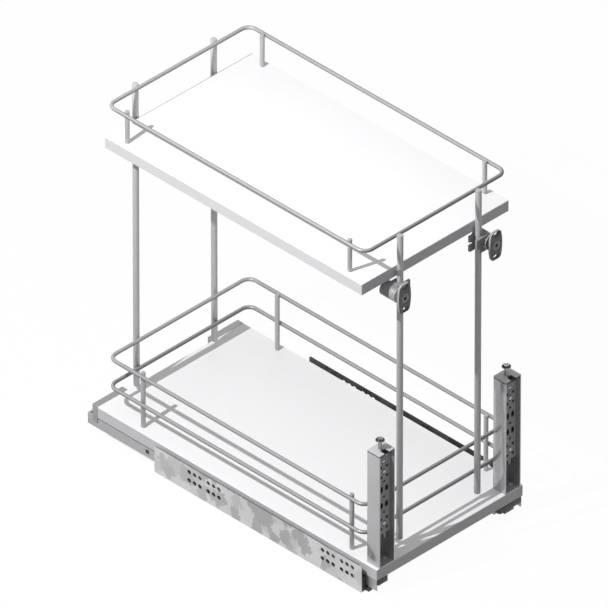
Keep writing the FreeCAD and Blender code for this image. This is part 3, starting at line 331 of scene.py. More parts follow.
# Painted shade: the front and back of the edge band are darker still.
edge = add_node(tree, "MixRGB", {"Color2": linear(FRONT_BAND_SHADE)},
                {"Fac": ahead, "Color1": band.outputs["Color"]})
face = add_node(tree, "MixRGB", {"Color1": linear(FACE_TONES[0]), "Color2": linear(FACE_TONES[1])},
                {"Fac": cloud})
white = add_node(tree, "MixRGB", {},
                 {"Fac": on_face, "Color1": edge.outputs["Color"], "Color2": face.outputs["Color"]})
gloss = add_node(tree, "MapRange", {"To Min": PEEL_GLOSS[0], "To Max": PEEL_GLOSS[1]}, {"Value": peel})
relief = add_node(tree, "Bump", {"Distance": PEEL_DEPTH}, {"Height": peel})
put_on(melamine, shader, white, gloss, relief)

# %% [markdown]
# ## Galvanised steel with a large spangle
#
# The fixed rails are dipped in zinc, which freezes into flat crystals. Each crystal reflects at
# its own level, so the sheet looks like a map of light and dark patches with ragged edges. A
# cell pattern gives each patch its level, and noise bends the borders. The ends of a rail cool
# first and come out lighter, so the level drops towards the middle of its length. The sides that
# face each other across the object are darkened as painted shade, for the narrow gaps that the
# lamp hardly reaches: a face is on that side where its normal points back towards the middle.

# %% Galvanised steel
SPANGLE = 19
RAGGED = 6
BORDER_BEND = 0.9
FROST = 1.5
FROST_DEPTH = 0.02 * MM
FROST_SHARE = 0.10
SPANGLE_GLOSS = (0.42, 0.58)
SPANGLE_TONES = ((0.0, "ACACAD"), (0.3, "BABABB"), (0.5, "CACACB"), (0.8, "D8D8D9"))
RAIL_MIDDLE = 0.052
COOLS_OVER = (0.04, 0.13)
COOLING = (-0.25, 0.2)
INSIDE_SHADE_FROM = (-0.02, -0.06)
INSIDE_SHADE_TONE = "303031"
INSIDE_SHADE_SHARE = 0.75

galvanised, tree, shader = start_finish("hot-dip galvanised sheet", metallic=0.7, roughness=0.5)
where = add_node(tree, "TexCoord").outputs["Object"]
place = add_node(tree, "SeparateXYZ", {}, {"Vector": where})
ragged = add_node(tree, "TexNoise", {"Scale": per_size(RAGGED), "Detail": 4.0}, {"Vector": where})
centred = add_node(tree, "VectorMath", {"operation": "SUBTRACT", 1: (0.5, 0.5, 0.5)},
                   {0: ragged.outputs["Color"]})
small = add_node(tree, "VectorMath", {"operation": "SCALE", "Scale": SPANGLE * BORDER_BEND * MM},
                 {0: centred.outputs[0]})
bent = add_node(tree, "VectorMath", {"operation": "ADD"}, {0: where, 1: small.outputs[0]})
crystals = add_node(tree, "TexVoronoi", {"Scale": per_size(SPANGLE)}, {"Vector": bent.outputs[0]})
level = add_node(tree, "SeparateColor", {}, {"Color": crystals.outputs["Color"]}).outputs["Red"]
frost = add_node(tree, "TexNoise", {"Scale": per_size(FROST), "Detail": 4.0},
                 {"Vector": where}).outputs["Fac"]
frosted = add_node(tree, "Math", {"operation": "MULTIPLY_ADD", 1: FROST_SHARE}, {0: frost, 2: level})
off_middle = add_node(tree, "Math", {"operation": "ADD", 1: RAIL_MIDDLE}, {0: place.outputs["Y"]})
towards_end = add_node(tree, "Math", {"operation": "ABSOLUTE"}, {0: off_middle.outputs[0]})
cooling = add_node(tree, "MapRange", {"From Min": COOLS_OVER[0], "From Max": COOLS_OVER[1],
                                      "To Min": COOLING[0], "To Max": COOLING[1]},
                   {"Value": towards_end.outputs[0]})
cooled = add_node(tree, "Math", {"operation": "ADD"}, {0: frosted.outputs[0], 1: cooling.outputs["Result"]})
patches = add_node(tree, "ValToRGB", {"stops": SPANGLE_TONES}, {"Fac": cooled.outputs[0]})
# Painted shade: the faces that look back towards the middle are darkened.
normal = add_node(tree, "NewGeometry").outputs["True Normal"]
facing = add_node(tree, "VectorMath", {"operation": "MULTIPLY"}, {0: normal, 1: where})
inward = add_node(tree, "SeparateXYZ", {}, {"Vector": facing.outputs[0]}).outputs["X"]
inside_shade = add_node(tree, "MapRange", {"From Min": INSIDE_SHADE_FROM[0], "From Max": INSIDE_SHADE_FROM[1],
                                   "To Max": INSIDE_SHADE_SHARE}, {"Value": inward})
sheet = add_node(tree, "MixRGB", {"Color2": linear(INSIDE_SHADE_TONE)},
                 {"Fac": inside_shade.outputs["Result"], "Color1": patches.outputs["Color"]})
gloss = add_node(tree, "MapRange", {"To Min": SPANGLE_GLOSS[0], "To Max": SPANGLE_GLOSS[1]},
                 {"Value": level})
relief = add_node(tree, "Bump", {"Distance": FROST_DEPTH}, {"Height": frost})
put_on(galvanised, shader, sheet, gloss, relief)

# %% [markdown]
# ## Zinc-plated runner steel
#
# The moving rails are rolled from plated strip. The rolls leave faint lines along its length and
# a satin, even grey, so the grain is drawn out forty times along the rail.

# %% Runner steel
runner_steel = two_tone("rolled zinc-plated strip", ("B0B0B2", "BCBCBE"), metallic=0.6, roughness=0.42,
                        drift=(25, 2.0), grain=(0.8, 2.0), gloss=(0.36, 0.50), depth=0.01, drawn_out=40)

# %% [markdown]
# ## Satin chrome on round bar and wire
#
# The rods and wires are plated over a drawn surface that was not polished first, so they do not
# mirror: each has a soft light side towards the lamp and turns grey on the other. Handling
# leaves it a little uneven, over a few centimetres. On a wire the side that turns towards the lamp
# is painted lighter and the others darker, as painted light and shade. The rear rods and the rear
# runs of the wires are painted lighter still, as painted light, apart from the lowest run.

# %% Satin chrome
LIT_SIDE = (-0.6, 0.0, 0.8)
LIT_FROM = 0.45
REAR_LIT_RUN = (0.190, 0.205)
REAR_LIGHT_GAIN = 0.5
LOWEST_RUN = (0.085, 0.105)


def satin_chrome(name, *tones):
    """Unpolished chrome plating between two tones."""
    return two_tone(name, tones, metallic=0.15, roughness=0.3, drift=(14, 3.0), grain=(1.2, 2.0),
                    gloss=(0.26, 0.40), depth=0.01, drifting=True)


bar_chrome = satin_chrome("satin chrome on bar", "AAAAAC", "BABABC")
# Painted light: the rear rods get a lighter copy of the chrome.
lit_rear_bar_chrome = satin_chrome("satin chrome on rear bar", "BCBCBE", "CDCDCF")
wire_chrome = satin_chrome("satin chrome on wire", "6E6E70", "AEAEB0")
# Painted light and shade: the wire is lighter where its normal turns to the lamp's side, and lighter at the
# rear.
tree = wire_chrome.node_tree
normal = add_node(tree, "NewGeometry").outputs["Normal"]
towards = add_node(tree, "VectorMath", {"operation": "DOT_PRODUCT", 1: LIT_SIDE}, {0: normal}).outputs["Value"]
place = add_node(tree, "SeparateXYZ", {}, {"Vector": add_node(tree, "TexCoord").outputs["Object"]})
rear = add_node(tree, "MapRange", {"From Min": REAR_LIT_RUN[0], "From Max": REAR_LIT_RUN[1], "To Max": REAR_LIGHT_GAIN},
                {"Value": place.outputs["Y"]})
above = add_node(tree, "MapRange", {"From Min": LOWEST_RUN[0], "From Max": LOWEST_RUN[1]},
                 {"Value": place.outputs["Z"]})
rear_light = add_node(tree, "Math", {"operation": "MULTIPLY"},
                {0: rear.outputs["Result"], 1: above.outputs["Result"]})
lit_side_and_rear = add_node(tree, "Math", {"operation": "ADD"}, {0: towards, 1: rear_light.outputs[0]})
plated = add_node(tree, "MapRange", {"From Min": LIT_FROM}, {"Value": lit_side_and_rear.outputs[0]})
tree.links.new(plated.outputs["Result"], tree.nodes["tones"].inputs["Fac"])

# %% [markdown]
# ## Silver coat on the folded columns
#
# The columns are folded steel with a smooth baked silver coat. It is glossy enough to show a
# blurred picture of the wires that meet it, and the metal flakes in it give a fine sparkle. The
# inside of the channel gets a darker copy of the coat, as painted shade.

# %% Silver coat
def baked(name, *tones):
    """A glossy silver coat with metal flakes, between two close tones."""
    return two_tone(name, tones, metallic=0.5, roughness=0.22, drift=(30, 2.0), grain=(0.9, 1.0),
                    gloss=(0.18, 0.26), depth=0.002)


silver_coat = baked("baked silver coat", "B4B4B6", "C0C0C2")
# Painted shade: a darker copy of the coat for the inside of the channel.
inner_shade_coat = baked("darker silver coat for painted shade", "AFAFB1", "BBBBBD")

# %% [markdown]
# ## Passivated zinc
#
# The door plates and clip faces are zinc, dipped in a bath that turns its skin dull grey. Such a
# skin is satin and slightly cloudy. The pressed plates and the screws come out lighter than the
# castings. The grain is too fine to see at this distance, so it is drawn at 0.7 mm.

# %% Passivated zinc
def passivated(name, *tones):
    """Zinc with a dull grey skin between two close tones."""
    return two_tone(name, tones, metallic=0.1, roughness=0.5, drift=(6, 4.0), grain=(0.7, 2.0),
                    gloss=(0.38, 0.52), depth=0.02, drifting=True)


zinc_casting = passivated("grey passivated zinc casting", "525254", "5E5E60")
zinc_pressing = passivated("grey passivated zinc pressing", "88888A", "9A9A9C")

# %% [markdown]
# ## Moulded plastics
#
# Seven plastics do the quiet work: grey nylon in the clips, dark grey nylon in the front locks,
# black nylon in the guides, a mid grey plastic for the levers, pale acetal round the rollers,
# light grey caps on the columns and mid grey covers on their feet. The dark grey and the black
# also serve as painted shade: dark grey plates behind the drawer rails' windows, and black under
# the columns' caps, in the door plates' holes and rims and in the dark lines on the drawer rails.
# All are moulded against spark-eroded steel, which leaves a fine even grain that kills the gloss.
# The grain is drawn at 0.6 mm, twice the real one.

# %% Moulded plastics
GRAIN_GLOSS = 0.06


def moulded(name, *tones, roughness):
    """A grained moulded plastic between two close tones."""
    return two_tone(name, tones, metallic=0.0, roughness=roughness, drift=(12, 2.0), grain=(0.6, 2.0),
                    gloss=(roughness - GRAIN_GLOSS, roughness + GRAIN_GLOSS), depth=0.03)


clip_nylon = moulded("grey nylon", "8C8C8E", "98989A", roughness=0.50)
black_nylon = moulded("black nylon", "343436", "3E3E40", roughness=0.48)
lever_plastic = moulded("mid grey moulded plastic", "7A7A7C", "868688", roughness=0.50)
roller_plastic = moulded("pale acetal", "D2D2CE", "DADAD6", roughness=0.38)
lock_nylon = moulded("dark grey nylon", "404042", "4A4A4C", roughness=0.48)
cap_plastic = moulded("grained light grey cap", "C6C6C8", "D0D0D2", roughness=0.45)
foot_plastic = moulded("grained mid grey foot cover", "8E8E90", "98989A", roughness=0.45)

# %% [markdown]
# ## Bright screws and the ribbed sleeve
#
# The height screws are nickel plated and polished, the small fixing screws are plain zinc, and
# the clip's sleeve is turned from light metal. A lathe and handling leave faint cloudy marks.
# Two more are made in the same way: a near-black metal for painted shade and a painted dark
# reflection, on the crown of the screws, in the sockets of the clip screws and on the top edges of
# the fixed rails, and a light metal for painted highlights on the outer edges of the clip faces.

# %% Bright metals
MARKS_GLOSS = (0.8, 1.2)


def turned_metal(name, *tones, metallic, roughness):
    """A turned, plated metal with faint lathe marks."""
    return two_tone(name, tones, metallic=metallic, roughness=roughness, drift=(5, 2.0), grain=(1, 2.0),
                    gloss=[roughness * share for share in MARKS_GLOSS], depth=0.005)


bright_nickel = turned_metal("polished nickel plating", "C6C6C8", "D0D0D2", metallic=1.0, roughness=0.12)
screw_zinc = turned_metal("zinc-plated screw", "98989A", "A6A6A8", metallic=0.8, roughness=0.38)
sleeve_metal = turned_metal("turned light metal", "B4B4B6", "BEBEC0", metallic=0.5, roughness=0.36)
# Painted shade and a painted dark reflection: a near-black metal.
painted_dark_metal = turned_metal("near-black for painted shade", "303032", "3C3C3E", metallic=0.3, roughness=0.2)
# Painted highlight: a light metal for the outer edges of the clip faces.
painted_light_edge = turned_metal("light zinc for painted highlights", "A4A4A6", "B0B0B2", metallic=0.1, roughness=0.6)

# %% [markdown]
# ## Finishes for the CAD solids
#
# The record says which finish each solid has. The solids' own materials are only plain colours,
# so each is swapped for the real finish of the same name. Within one finish a few small parts
# look different: pressed zinc is lighter than cast, and the brackets are plated like the screws.
# Which body each solid rides on is noted too, because a piece that takes a solid's place moves
# with the same body.

# %% Dress the CAD solids
FINISHES = {"galvanised_steel": galvanised, "runner_steel": runner_steel, "melamine": melamine,
            "chromed_wire": bar_chrome, "column_steel": silver_coat, "dark_zinc": zinc_casting,
            "clip_nylon": clip_nylon, "sleeve_metal": sleeve_metal, "bright_screw": bright_nickel,
            "screw_steel": screw_zinc, "black_nylon": black_nylon, "lever_plastic": lever_plastic,
            "roller_plastic": roller_plastic}
GALLERY = ("upper_gallery_wire", "lower_gallery_top_wire", "lower_gallery_bottom_wire")
OWN_FINISH = {"plate_studs": sleeve_metal, "column_screws": zinc_pressing}
for node in GALLERY:
    OWN_FINISH[node] = wire_chrome
for side in SIDES:
    OWN_FINISH["door_plate_" + side] = zinc_pressing
    OWN_FINISH["clip_screw_" + side] = zinc_pressing
    OWN_FINISH["rear_bracket_" + side] = screw_zinc
    OWN_FINISH["rod_rear_" + side] = lit_rear_bar_chrome
    OWN_FINISH["front_lock_" + side] = lock_nylon

SLOT_OF = {part["node"]: part["material_slot"] for part in frame["record"]["subparts"]}
BODY_OF = {node: body for body, members in frame["record"]["behaviour"]["bodies"].items() for node in members}


def finish_of(node):
    """The finish of a node: its own, or else the one of its slot."""
    return OWN_FINISH.get(node, FINISHES[SLOT_OF[node]])


for node in SLOT_OF:
    nodes[node].data.materials.clear()
    nodes[node].data.materials.append(finish_of(node))
print("dressed:", len(nodes), "solids in", len(FINISHES), "finishes")

# %% [markdown]
# ## Tools for modelling
#
# Modelling in code is modelling by hand with the hands taken away: one adds a primitive, goes
# into edit mode, selects by place instead of by mouse, and calls the same operators. These first
# helpers start from a clean selection, settle a piece's place into its mesh, turn its faces
# outwards and finish it. The others come where they are first needed.

# %% Modelling helpers
def start_clean():
    """Goes back to object mode with nothing selected."""
    if bpy.context.mode != "OBJECT":
        bpy.ops.object.mode_set(mode="OBJECT")
    bpy.ops.object.select_all(action="DESELECT")


def take(piece):
    """Selects one piece and nothing else."""
    start_clean()
    piece.select_set(True)
    bpy.context.view_layer.objects.active = piece


def settle():
    """Puts the active piece's place, turn and size into its mesh."""
    bpy.ops.object.transform_apply(location=True, rotation=True, scale=True)


def all_outwards():
    """Turns every face outwards, after a spin, a mirror or a merge."""
    bpy.ops.mesh.select_all(action="SELECT")
    bpy.ops.mesh.normals_make_consistent(inside=False)
    bpy.ops.object.mode_set(mode="OBJECT")


def finish_piece(piece, name, like, stands_for=(), sharp=35, material=None):
    """Names and shades a piece, gives it a solid's body and finish, and says what it stands for.

    A piece whose finish differs from that of its solid is given a material of its own.
    """
    take(piece)
    piece.name = name
    settle()
    bpy.ops.object.shade_smooth_by_angle(angle=math.radians(sharp))
    piece.data.materials.clear()
    piece.data.materials.append(material or finish_of(like))
    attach(piece, BODY_OF[like])
    if stands_for:
        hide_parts(*stands_for)
    print(name + ":", len(piece.data.polygons), "faces")


def stand_in(piece, node, word):
    """Finishes a piece that stands for one solid and is named after it, with a word more."""
    finish_piece(piece, node + "_" + word, node, [node])


# %% [markdown]
# ## Gallery wires
#
# Each gallery is one 5 mm wire, bent at four corners and butt-welded into a loop. A bevelled
# curve would give the same tube, but drawing a ring of points along the wire shows how it was
# bent: the ring is extruded along a straight side, spun round a corner, and so on back to the
# start, where the two ends are merged.

# %% Bend the gallery wires
WIRE_BEND = 12 * MM
WIRE_SIDES = 20
BEND_STEPS = 8
WELD_GAP = 0.01 * MM
QUARTER = math.radians(90)


def bent_loop(node):
    """A loop of round wire with four bent corners, as large as a CAD wire."""
    low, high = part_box(node)
    radius = (high.z - low.z) / 2
    height = (high.z + low.z) / 2
    side = high.x - radius
    front = low.y + radius
    rear = high.y - radius
    start_clean()
    bpy.ops.mesh.primitive_circle_add(vertices=WIRE_SIDES, radius=radius, fill_type="NOTHING",
                                      location=(side, 0, height), rotation=(QUARTER, 0, 0))
    settle()
    bpy.ops.object.mode_set(mode="EDIT")
    bpy.ops.mesh.select_all(action="SELECT")
    inner = side - WIRE_BEND
    across = 2 * inner
    runs = (((0, rear - WIRE_BEND, 0), (inner, rear - WIRE_BEND)),
            ((-across, 0, 0), (-inner, rear - WIRE_BEND)),
            ((0, front - rear + 2 * WIRE_BEND, 0), (-inner, front + WIRE_BEND)),
            ((across, 0, 0), (inner, front + WIRE_BEND)))
    for run, centre in runs:
        bpy.ops.mesh.extrude_region_move(TRANSFORM_OT_translate={"value": run})
        bpy.ops.mesh.spin(steps=BEND_STEPS, angle=-QUARTER, center=(*centre, height), axis=(0, 0, 1))
    bpy.ops.mesh.extrude_region_move(TRANSFORM_OT_translate={"value": (0, -front - WIRE_BEND, 0)})
    bpy.ops.mesh.select_all(action="SELECT")
    bpy.ops.mesh.remove_doubles(threshold=WELD_GAP)
    all_outwards()
    return bpy.context.object


for node in GALLERY:
    stand_in(bent_loop(node), node, "bent")

# %% [markdown]
# ## A lathe
#
# Rods, posts, screws, studs and sleeves are all turned or drawn round. A profile spun round its
# axis would do, but the ends of the seam would have to be merged each time. Here a filled circle
# is extruded along the axis and resized at each ring, so the piece is closed from the start.

# %% A helper that works like a lathe
FACING = 0.5


def turned(start, rings, along=(0, 0, 1), sides=32):
    """A round piece drawn out ring by ring. A ring is its radius and its distance from start, in mm."""
    along = Vector(along)
    start_clean()
    radius, place = rings[0]
    bpy.ops.mesh.primitive_circle_add(vertices=sides, radius=radius * MM, fill_type="NGON",
                                      location=start + along * place * MM,
                                      rotation=along.to_track_quat("Z", "Y").to_euler())
    settle()
    bpy.ops.object.mode_set(mode="EDIT")
    bpy.ops.mesh.select_all(action="SELECT")
    for next_radius, next_place in rings[1:]:
        bpy.ops.mesh.extrude_region_move(TRANSFORM_OT_translate={"value": along * (next_place - place) * MM})
        growth = next_radius / radius
        bpy.ops.transform.resize(value=[1 if abs(a) > FACING else growth for a in along],
                                 center_override=start + along * next_place * MM)
        radius, place = next_radius, next_place
    all_outwards()
    return bpy.context.object


# %% [markdown]
# ## Rods and posts
#
# The uprights are cut from round bar and their ends tumbled, which rounds the edges. Each is
# drawn out from one end to the other, with two small steps at each end.

# %% Turn the rods and posts
END_STEPS = ((1.0, 0.0), (0.35, 0.2), (0.0, 0.9))


def upright(node):
    """A round bar with softened ends, at the place of a CAD rod or post."""
    low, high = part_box(node)
    radius = (high.x - low.x) / 2 / MM
    length = (high.z - low.z) / MM
    start = Vector(((low.x + high.x) / 2, (low.y + high.y) / 2, low.z))
    rings = [(radius - less, step) for less, step in END_STEPS]
    rings += [(radius - less, length - step) for less, step in reversed(END_STEPS)]
    return turned(start, rings, sides=28)


uprights = [node for node in nodes
            if node.startswith("rod_") or "_post_front" in node or "_post_rear" in node]
for node in uprights:
    stand_in(upright(node), node, "turned")
print("uprights:", len(uprights))

# %% [markdown]
# ## Weld marks
#
# Where a wire crosses an upright, the two are pressed together and welded, and a little metal is
# squeezed out round the joint. One small cushion is turned at each crossing and drawn out along
# the wire, and then all are joined into one piece.

# %% Put a weld mark on every crossing
CUSHION = ((1.0, -0.9), (1.5, -0.6), (1.8, 0.0), (1.5, 0.6), (1.0, 0.9))
DRAWN_ALONG = 1.5
MARK_SHARP = 60


def joined(pieces):
    """Several pieces as one mesh."""
    start_clean()
    for piece in pieces:
        piece.select_set(True)
    bpy.context.view_layer.objects.active = pieces[0]
    bpy.ops.object.join()
    return bpy.context.object


def crossings():
    """Every place where an upright touches a wire, with the direction from the upright to the wire."""
    places = []
    for node in uprights:
        low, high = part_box(node)
        x, y = (low.x + high.x) / 2, (low.y + high.y) / 2
        reach = (high.x - low.x) / 2
        if node.startswith("rod"):
            wires = GALLERY
            towards = Vector((0, 1 if y < 0 else -1, 0))
        else:
            wires = GALLERY[:1] if node.startswith("upper") else GALLERY[1:]
            towards = Vector((1 if x > 0 else -1, 0, 0))
        for wire in wires:
            wire_low, wire_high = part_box(wire)
            places.append((Vector((x, y, (wire_low.z + wire_high.z) / 2)) + towards * reach, towards))
    return places


marks = []
for place, towards in crossings():
    mark = turned(place, CUSHION, along=towards, sides=12)
    stretch = (1, DRAWN_ALONG, 1) if abs(towards.x) > FACING else (DRAWN_ALONG, 1, 1)
    bpy.ops.transform.resize(value=stretch, center_override=place)
    settle()
    marks.append(mark)
finish_piece(joined(marks), "weld_marks", "upper_gallery_wire", sharp=MARK_SHARP)
print("weld marks:", len(marks))

# %% [markdown]
# ## Blocks and selections
#
# What isn't round starts as a block between two corners. By hand, one would then click on the
# faces, edges or vertices to change. In code a test picks them out by their place or their
# normal, with a tolerance of a tenth or a hundredth of a millimetre, and one helper runs any
# edit-mode operator on what it picked.

# %% Helpers for blocks and selections
CLOSE = 0.1 * MM
HAIR = 0.01 * MM


def block(low, high):
    """A block between two corners, with its size already in its mesh."""
    start_clean()
    bpy.ops.mesh.primitive_cube_add(size=1, location=(Vector(low) + Vector(high)) / 2)
    bpy.context.object.scale = Vector(high) - Vector(low)
    settle()
    return bpy.context.object


def choose(kind, test):
    """In edit mode, selects only the vertices, edges or faces that pass a test of item and middle."""
    bpy.ops.mesh.select_mode(type=kind)
    bpy.ops.mesh.select_all(action="DESELECT")
    shape = bmesh.from_edit_mesh(bpy.context.object.data)
    items = {"VERT": shape.verts, "EDGE": shape.edges, "FACE": shape.faces}[kind]
    for item in items:
        corners = [item] if kind == "VERT" else item.verts
        middle = sum((corner.co for corner in corners), Vector()) / len(corners)
        item.select_set(bool(test(item, middle)))
    shape.select_flush_mode()
    bmesh.update_edit_mesh(bpy.context.object.data)


def reshape(piece, kind, test, operator, **settings):
    """Runs one operator in edit mode, on what passes a test of item and middle."""
    take(piece)
    bpy.ops.object.mode_set(mode="EDIT")
    choose(kind, test)
    operator(**settings)
    bpy.ops.object.mode_set(mode="OBJECT")
    return piece


# %% [markdown]
# ## Modifiers
#
# Some steps are simpler as a modifier: giving a sheet its thickness, cutting one shape out of
# another, or rounding every sharp edge. Each is applied straight away, so that what follows
# works on a plain mesh.

# %% Helpers for modifiers
EDGE_STEPS = 2
SHARP_FROM = 60


def with_modifier(piece, kind, **settings):
    """Adds a modifier with its settings and applies it."""
    take(piece)
    bpy.ops.object.modifier_add(type=kind)
    modifier = piece.modifiers[-1]
    for name, value in settings.items():
        setattr(modifier, name, value)
    bpy.ops.object.modifier_apply(modifier=modifier.name)
    return piece


def soften(piece, width, sharp_from=SHARP_FROM):
    """Rounds a piece's sharp edges by so many millimetres."""
    return with_modifier(piece, "BEVEL", width=width * MM, segments=EDGE_STEPS, limit_method="ANGLE",
                         angle_limit=math.radians(sharp_from))


def cut_away(piece, tool):
    """Cuts a tool's shape out of a piece, and throws the tool away."""
    with_modifier(piece, "BOOLEAN", operation="DIFFERENCE", solver="EXACT", object=tool)
    bpy.data.objects.remove(tool, do_unlink=True)
    return piece


# %% [markdown]
# ## Door columns
#
# A column is one strip of 1.5 mm steel, folded into a channel that is open to the front, with a
# lid on top and a foot plate welded in. The channel starts as a block: its front, top and foot
# faces are deleted, the two rear corners get the bend's radius, and Solidify gives the sheet
# its thickness. It ends a little under the lid, which leaves the dark joint line of a real one.

# %% Fold the channel of a door column
SHEET = 1.5 * MM
FOLD = 1.4 * MM
FOLD_STEPS = 5
LID = 1.5 * MM
JOINT = 0.8 * MM
DEEPER = 1.2 * MM
CHANNEL_EDGE = 0.25

column_low, column_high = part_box("door_column_right")
column_high = column_high + Vector((0, DEEPER, 0))


def rear_corner(edge, middle):
    """Whether an edge is an upright one at the column's rear, where the sheet is folded."""
    tall = abs(edge.verts[0].co.z - edge.verts[1].co.z) > SHEET / 2
    return abs(middle.y - column_high.y) < SHEET and tall


def folded(piece):
    """Gives a piece's two rear corners the radius of the fold."""
    return reshape(piece, "EDGE", rear_corner, bpy.ops.mesh.bevel,
                   offset=FOLD, segments=FOLD_STEPS, affect="EDGES")


channel = block(column_low, column_high - Vector((0, 0, LID + JOINT)))
reshape(channel, "FACE", lambda face, middle: face.normal.y < -FACING or abs(face.normal.z) > FACING,
        bpy.ops.mesh.delete, type="FACE")
folded(channel)
with_modifier(channel, "SOLIDIFY", thickness=SHEET, offset=-1, use_even_offset=True)
soften(channel, CHANNEL_EDGE)
print("channel:", len(channel.data.polygons), "faces")

# %% [markdown]
# The lid is a grained cap, lighter than the channel. It has a wide mouth where the screw goes in
# and a narrow slot that holds its neck. Each is cut with a tool: a block for the mouth, and for
# the slot a disc whose front half is moved out past the edge, which makes a long round-ended
# shape. A smaller plate under the lid fits into the channel and closes the joint from inside. It
# is cut in the same way, and it is painted black as shade in the joint under the lid. The foot
# plate between the walls has a mid grey cover.

# %% Lid and foot of a column
MOUTH_HALF = 4.3 * MM
MOUTH_DEPTH = 8.5 * MM
NECK_ROOM = 1.85
SLOT_TOOL = (-5, 2)
LID_EDGE = 0.35
FOOT_EDGE = 0.3
FOOT_SET_BACK = 0.3 * MM

screw_low, screw_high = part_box("height_screw_right")
screw_axis = Vector(((screw_low.x + screw_high.x) / 2, (screw_low.y + screw_high.y) / 2, 0))


def open_for_screw(plate):
    """Cuts the mouth and the neck's slot out of a plate at the column's top."""
    mouth = block((screw_axis.x - MOUTH_HALF, column_low.y - SHEET, column_high.z - 3 * SHEET),
                  (screw_axis.x + MOUTH_HALF, column_low.y + MOUTH_DEPTH, column_high.z + SHEET))
    cut_away(plate, mouth)
    slot = turned(screw_axis, [(NECK_ROOM, column_high.z / MM + reach) for reach in SLOT_TOOL], sides=24)
    reshape(slot, "VERT", lambda vert, middle: middle.y < screw_axis.y - CLOSE,
            bpy.ops.transform.translate, value=(0, -MOUTH_DEPTH, 0))
    return cut_away(plate, slot)


lid_low = column_high.z - LID
lid = block((column_low.x, column_low.y, lid_low), column_high)
soften(open_for_screw(folded(lid)), LID_EDGE)
inner = block((column_low.x + SHEET, column_low.y + SHEET, lid_low - SHEET),
              (column_high.x - SHEET, column_high.y - SHEET, lid_low))
open_for_screw(inner)
foot = block((column_low.x + SHEET, column_low.y + FOOT_SET_BACK, column_low.z),
             (column_high.x - SHEET, column_high.y - SHEET, column_low.z + SHEET))
soften(foot, FOOT_EDGE)
print("lid:", len(lid.data.polygons), "faces; inner plate:", len(inner.data.polygons), "faces")

# %% [markdown]
# The four parts are joined into the right column, and its mirror image is the left one. Parts of
# one piece can still have finishes of their own: the faces that pass a test are assigned another
# material. An inner wall, which gets the darker coat as painted shade, is found by its normal,
# which points to the screw's axis.

# %% Finish the door columns
def copied(piece, step=(0, 0, 0), mirrored=False):
    """A copy with a mesh of its own, moved, or mirrored to the other side of the object."""
    take(piece)
    bpy.ops.object.duplicate()
    bpy.ops.transform.translate(value=step)
    if mirrored:
        bpy.ops.transform.resize(value=(-1, 1, 1), center_override=(0, 0, 0))
    settle()
    if mirrored:
        bpy.ops.object.mode_set(mode="EDIT")
        all_outwards()
    return bpy.context.object


def pair(right):
    """The right piece and its mirror image, each with the name of its side."""
    return (right, "right"), (copied(right, mirrored=True), "left")


def paint_faces(piece, material, test):
    """Gives the faces of a finished piece that pass a test another finish."""
    piece.data.materials.append(material)
    piece.active_material_index = len(piece.data.materials) - 1
    reshape(piece, "FACE", test, bpy.ops.object.material_slot_assign)


for piece, side in pair(joined([channel, lid, inner, foot])):
    stand_in(piece, "door_column_" + side, "folded")
    axis_x = screw_axis.x if side == "right" else -screw_axis.x
    # Painted shade: the inside of the channel gets the darker coat.
    paint_faces(piece, inner_shade_coat, lambda face, middle: middle.z < lid_low - JOINT
                and (face.normal.x * (middle.x - axis_x) < -SHEET / 2
                     or face.normal.y < -FACING and middle.y > column_low.y + SHEET))
    paint_faces(piece, cap_plastic, lambda face, middle: middle.z > lid_low)
    paint_faces(piece, foot_plastic,
                lambda face, middle: column_low.z + HAIR < middle.z < column_low.z + SHEET + CLOSE)
    # Painted shade: the plate under the lid is black, for the joint's shade.
    paint_faces(piece, black_nylon,
                lambda face, middle: lid_low - SHEET - CLOSE < middle.z < lid_low + HAIR)

# %% [markdown]
# ## Height screws
#
# Each column carries a bright screw with a mushroom head. It is one turned piece: a thread below
# the cap, a thin neck in the slot, a plain shank and the head. The thread is drawn as rings at
# its real 0.8 mm pitch, because a ring looks the same as a turn of thread at this size. The
# cross in the head is cut with two crossed blades. The sloping crown of the head is painted
# near-black round its bright middle, as a painted dark reflection, and the neck and thread are
# left dull.

# %% Turn the height screws
PITCH = 0.8
THREAD_TURNS = 26
THREAD_TIP = (1.7, 0)
CREST, ROOT = (2.5, 0.5), (2.15, 0.9)
NECK = ((2.5, 21.7), (2.5, 22.3), (1.75, 22.4), (1.75, 24.1), (2.5, 24.2), (2.5, 34.4))
HEAD = ((3.4, 34.4), (5.5, 35.3), (5.75, 35.8), (5.75, 36.3), (5.3, 37.1), (4.4, 37.9), (3.1, 38.4),
        (1.6, 38.6))
CROSS_LONG, CROSS_WIDE = 3.4 * MM, 0.7 * MM
CROSS_FROM, CROSS_TO = 1.4 * MM, 1 * MM
HEAD_THICK = 4.15 * MM
CROWN = 2.4 * MM
CROWN_SLOPE = (0.2, 0.97)

rings = [THREAD_TIP]
for turn in range(THREAD_TURNS):
    rings += [(radius, rise + PITCH * turn) for radius, rise in (CREST, ROOT)]
screw = turned(screw_axis + Vector((0, 0, screw_low.z)), rings + list(NECK + HEAD), sides=28)
for half_x, half_y in ((CROSS_LONG, CROSS_WIDE), (CROSS_WIDE, CROSS_LONG)):
    cut_away(screw, block(screw_axis + Vector((-half_x, -half_y, screw_high.z - CROSS_FROM)),
                          screw_axis + Vector((half_x, half_y, screw_high.z + CROSS_TO))))
for piece, side in pair(screw):
    stand_in(piece, "height_screw_" + side, "turned")
    paint_faces(piece, screw_zinc, lambda face, middle: middle.z < screw_high.z - HEAD_THICK)
    # Painted dark reflection: the crown of the head is near-black round its bright middle.
    paint_faces(piece, painted_dark_metal, lambda face, middle: middle.z > screw_high.z - CROWN
                and CROWN_SLOPE[0] < face.normal.z < CROWN_SLOPE[1])

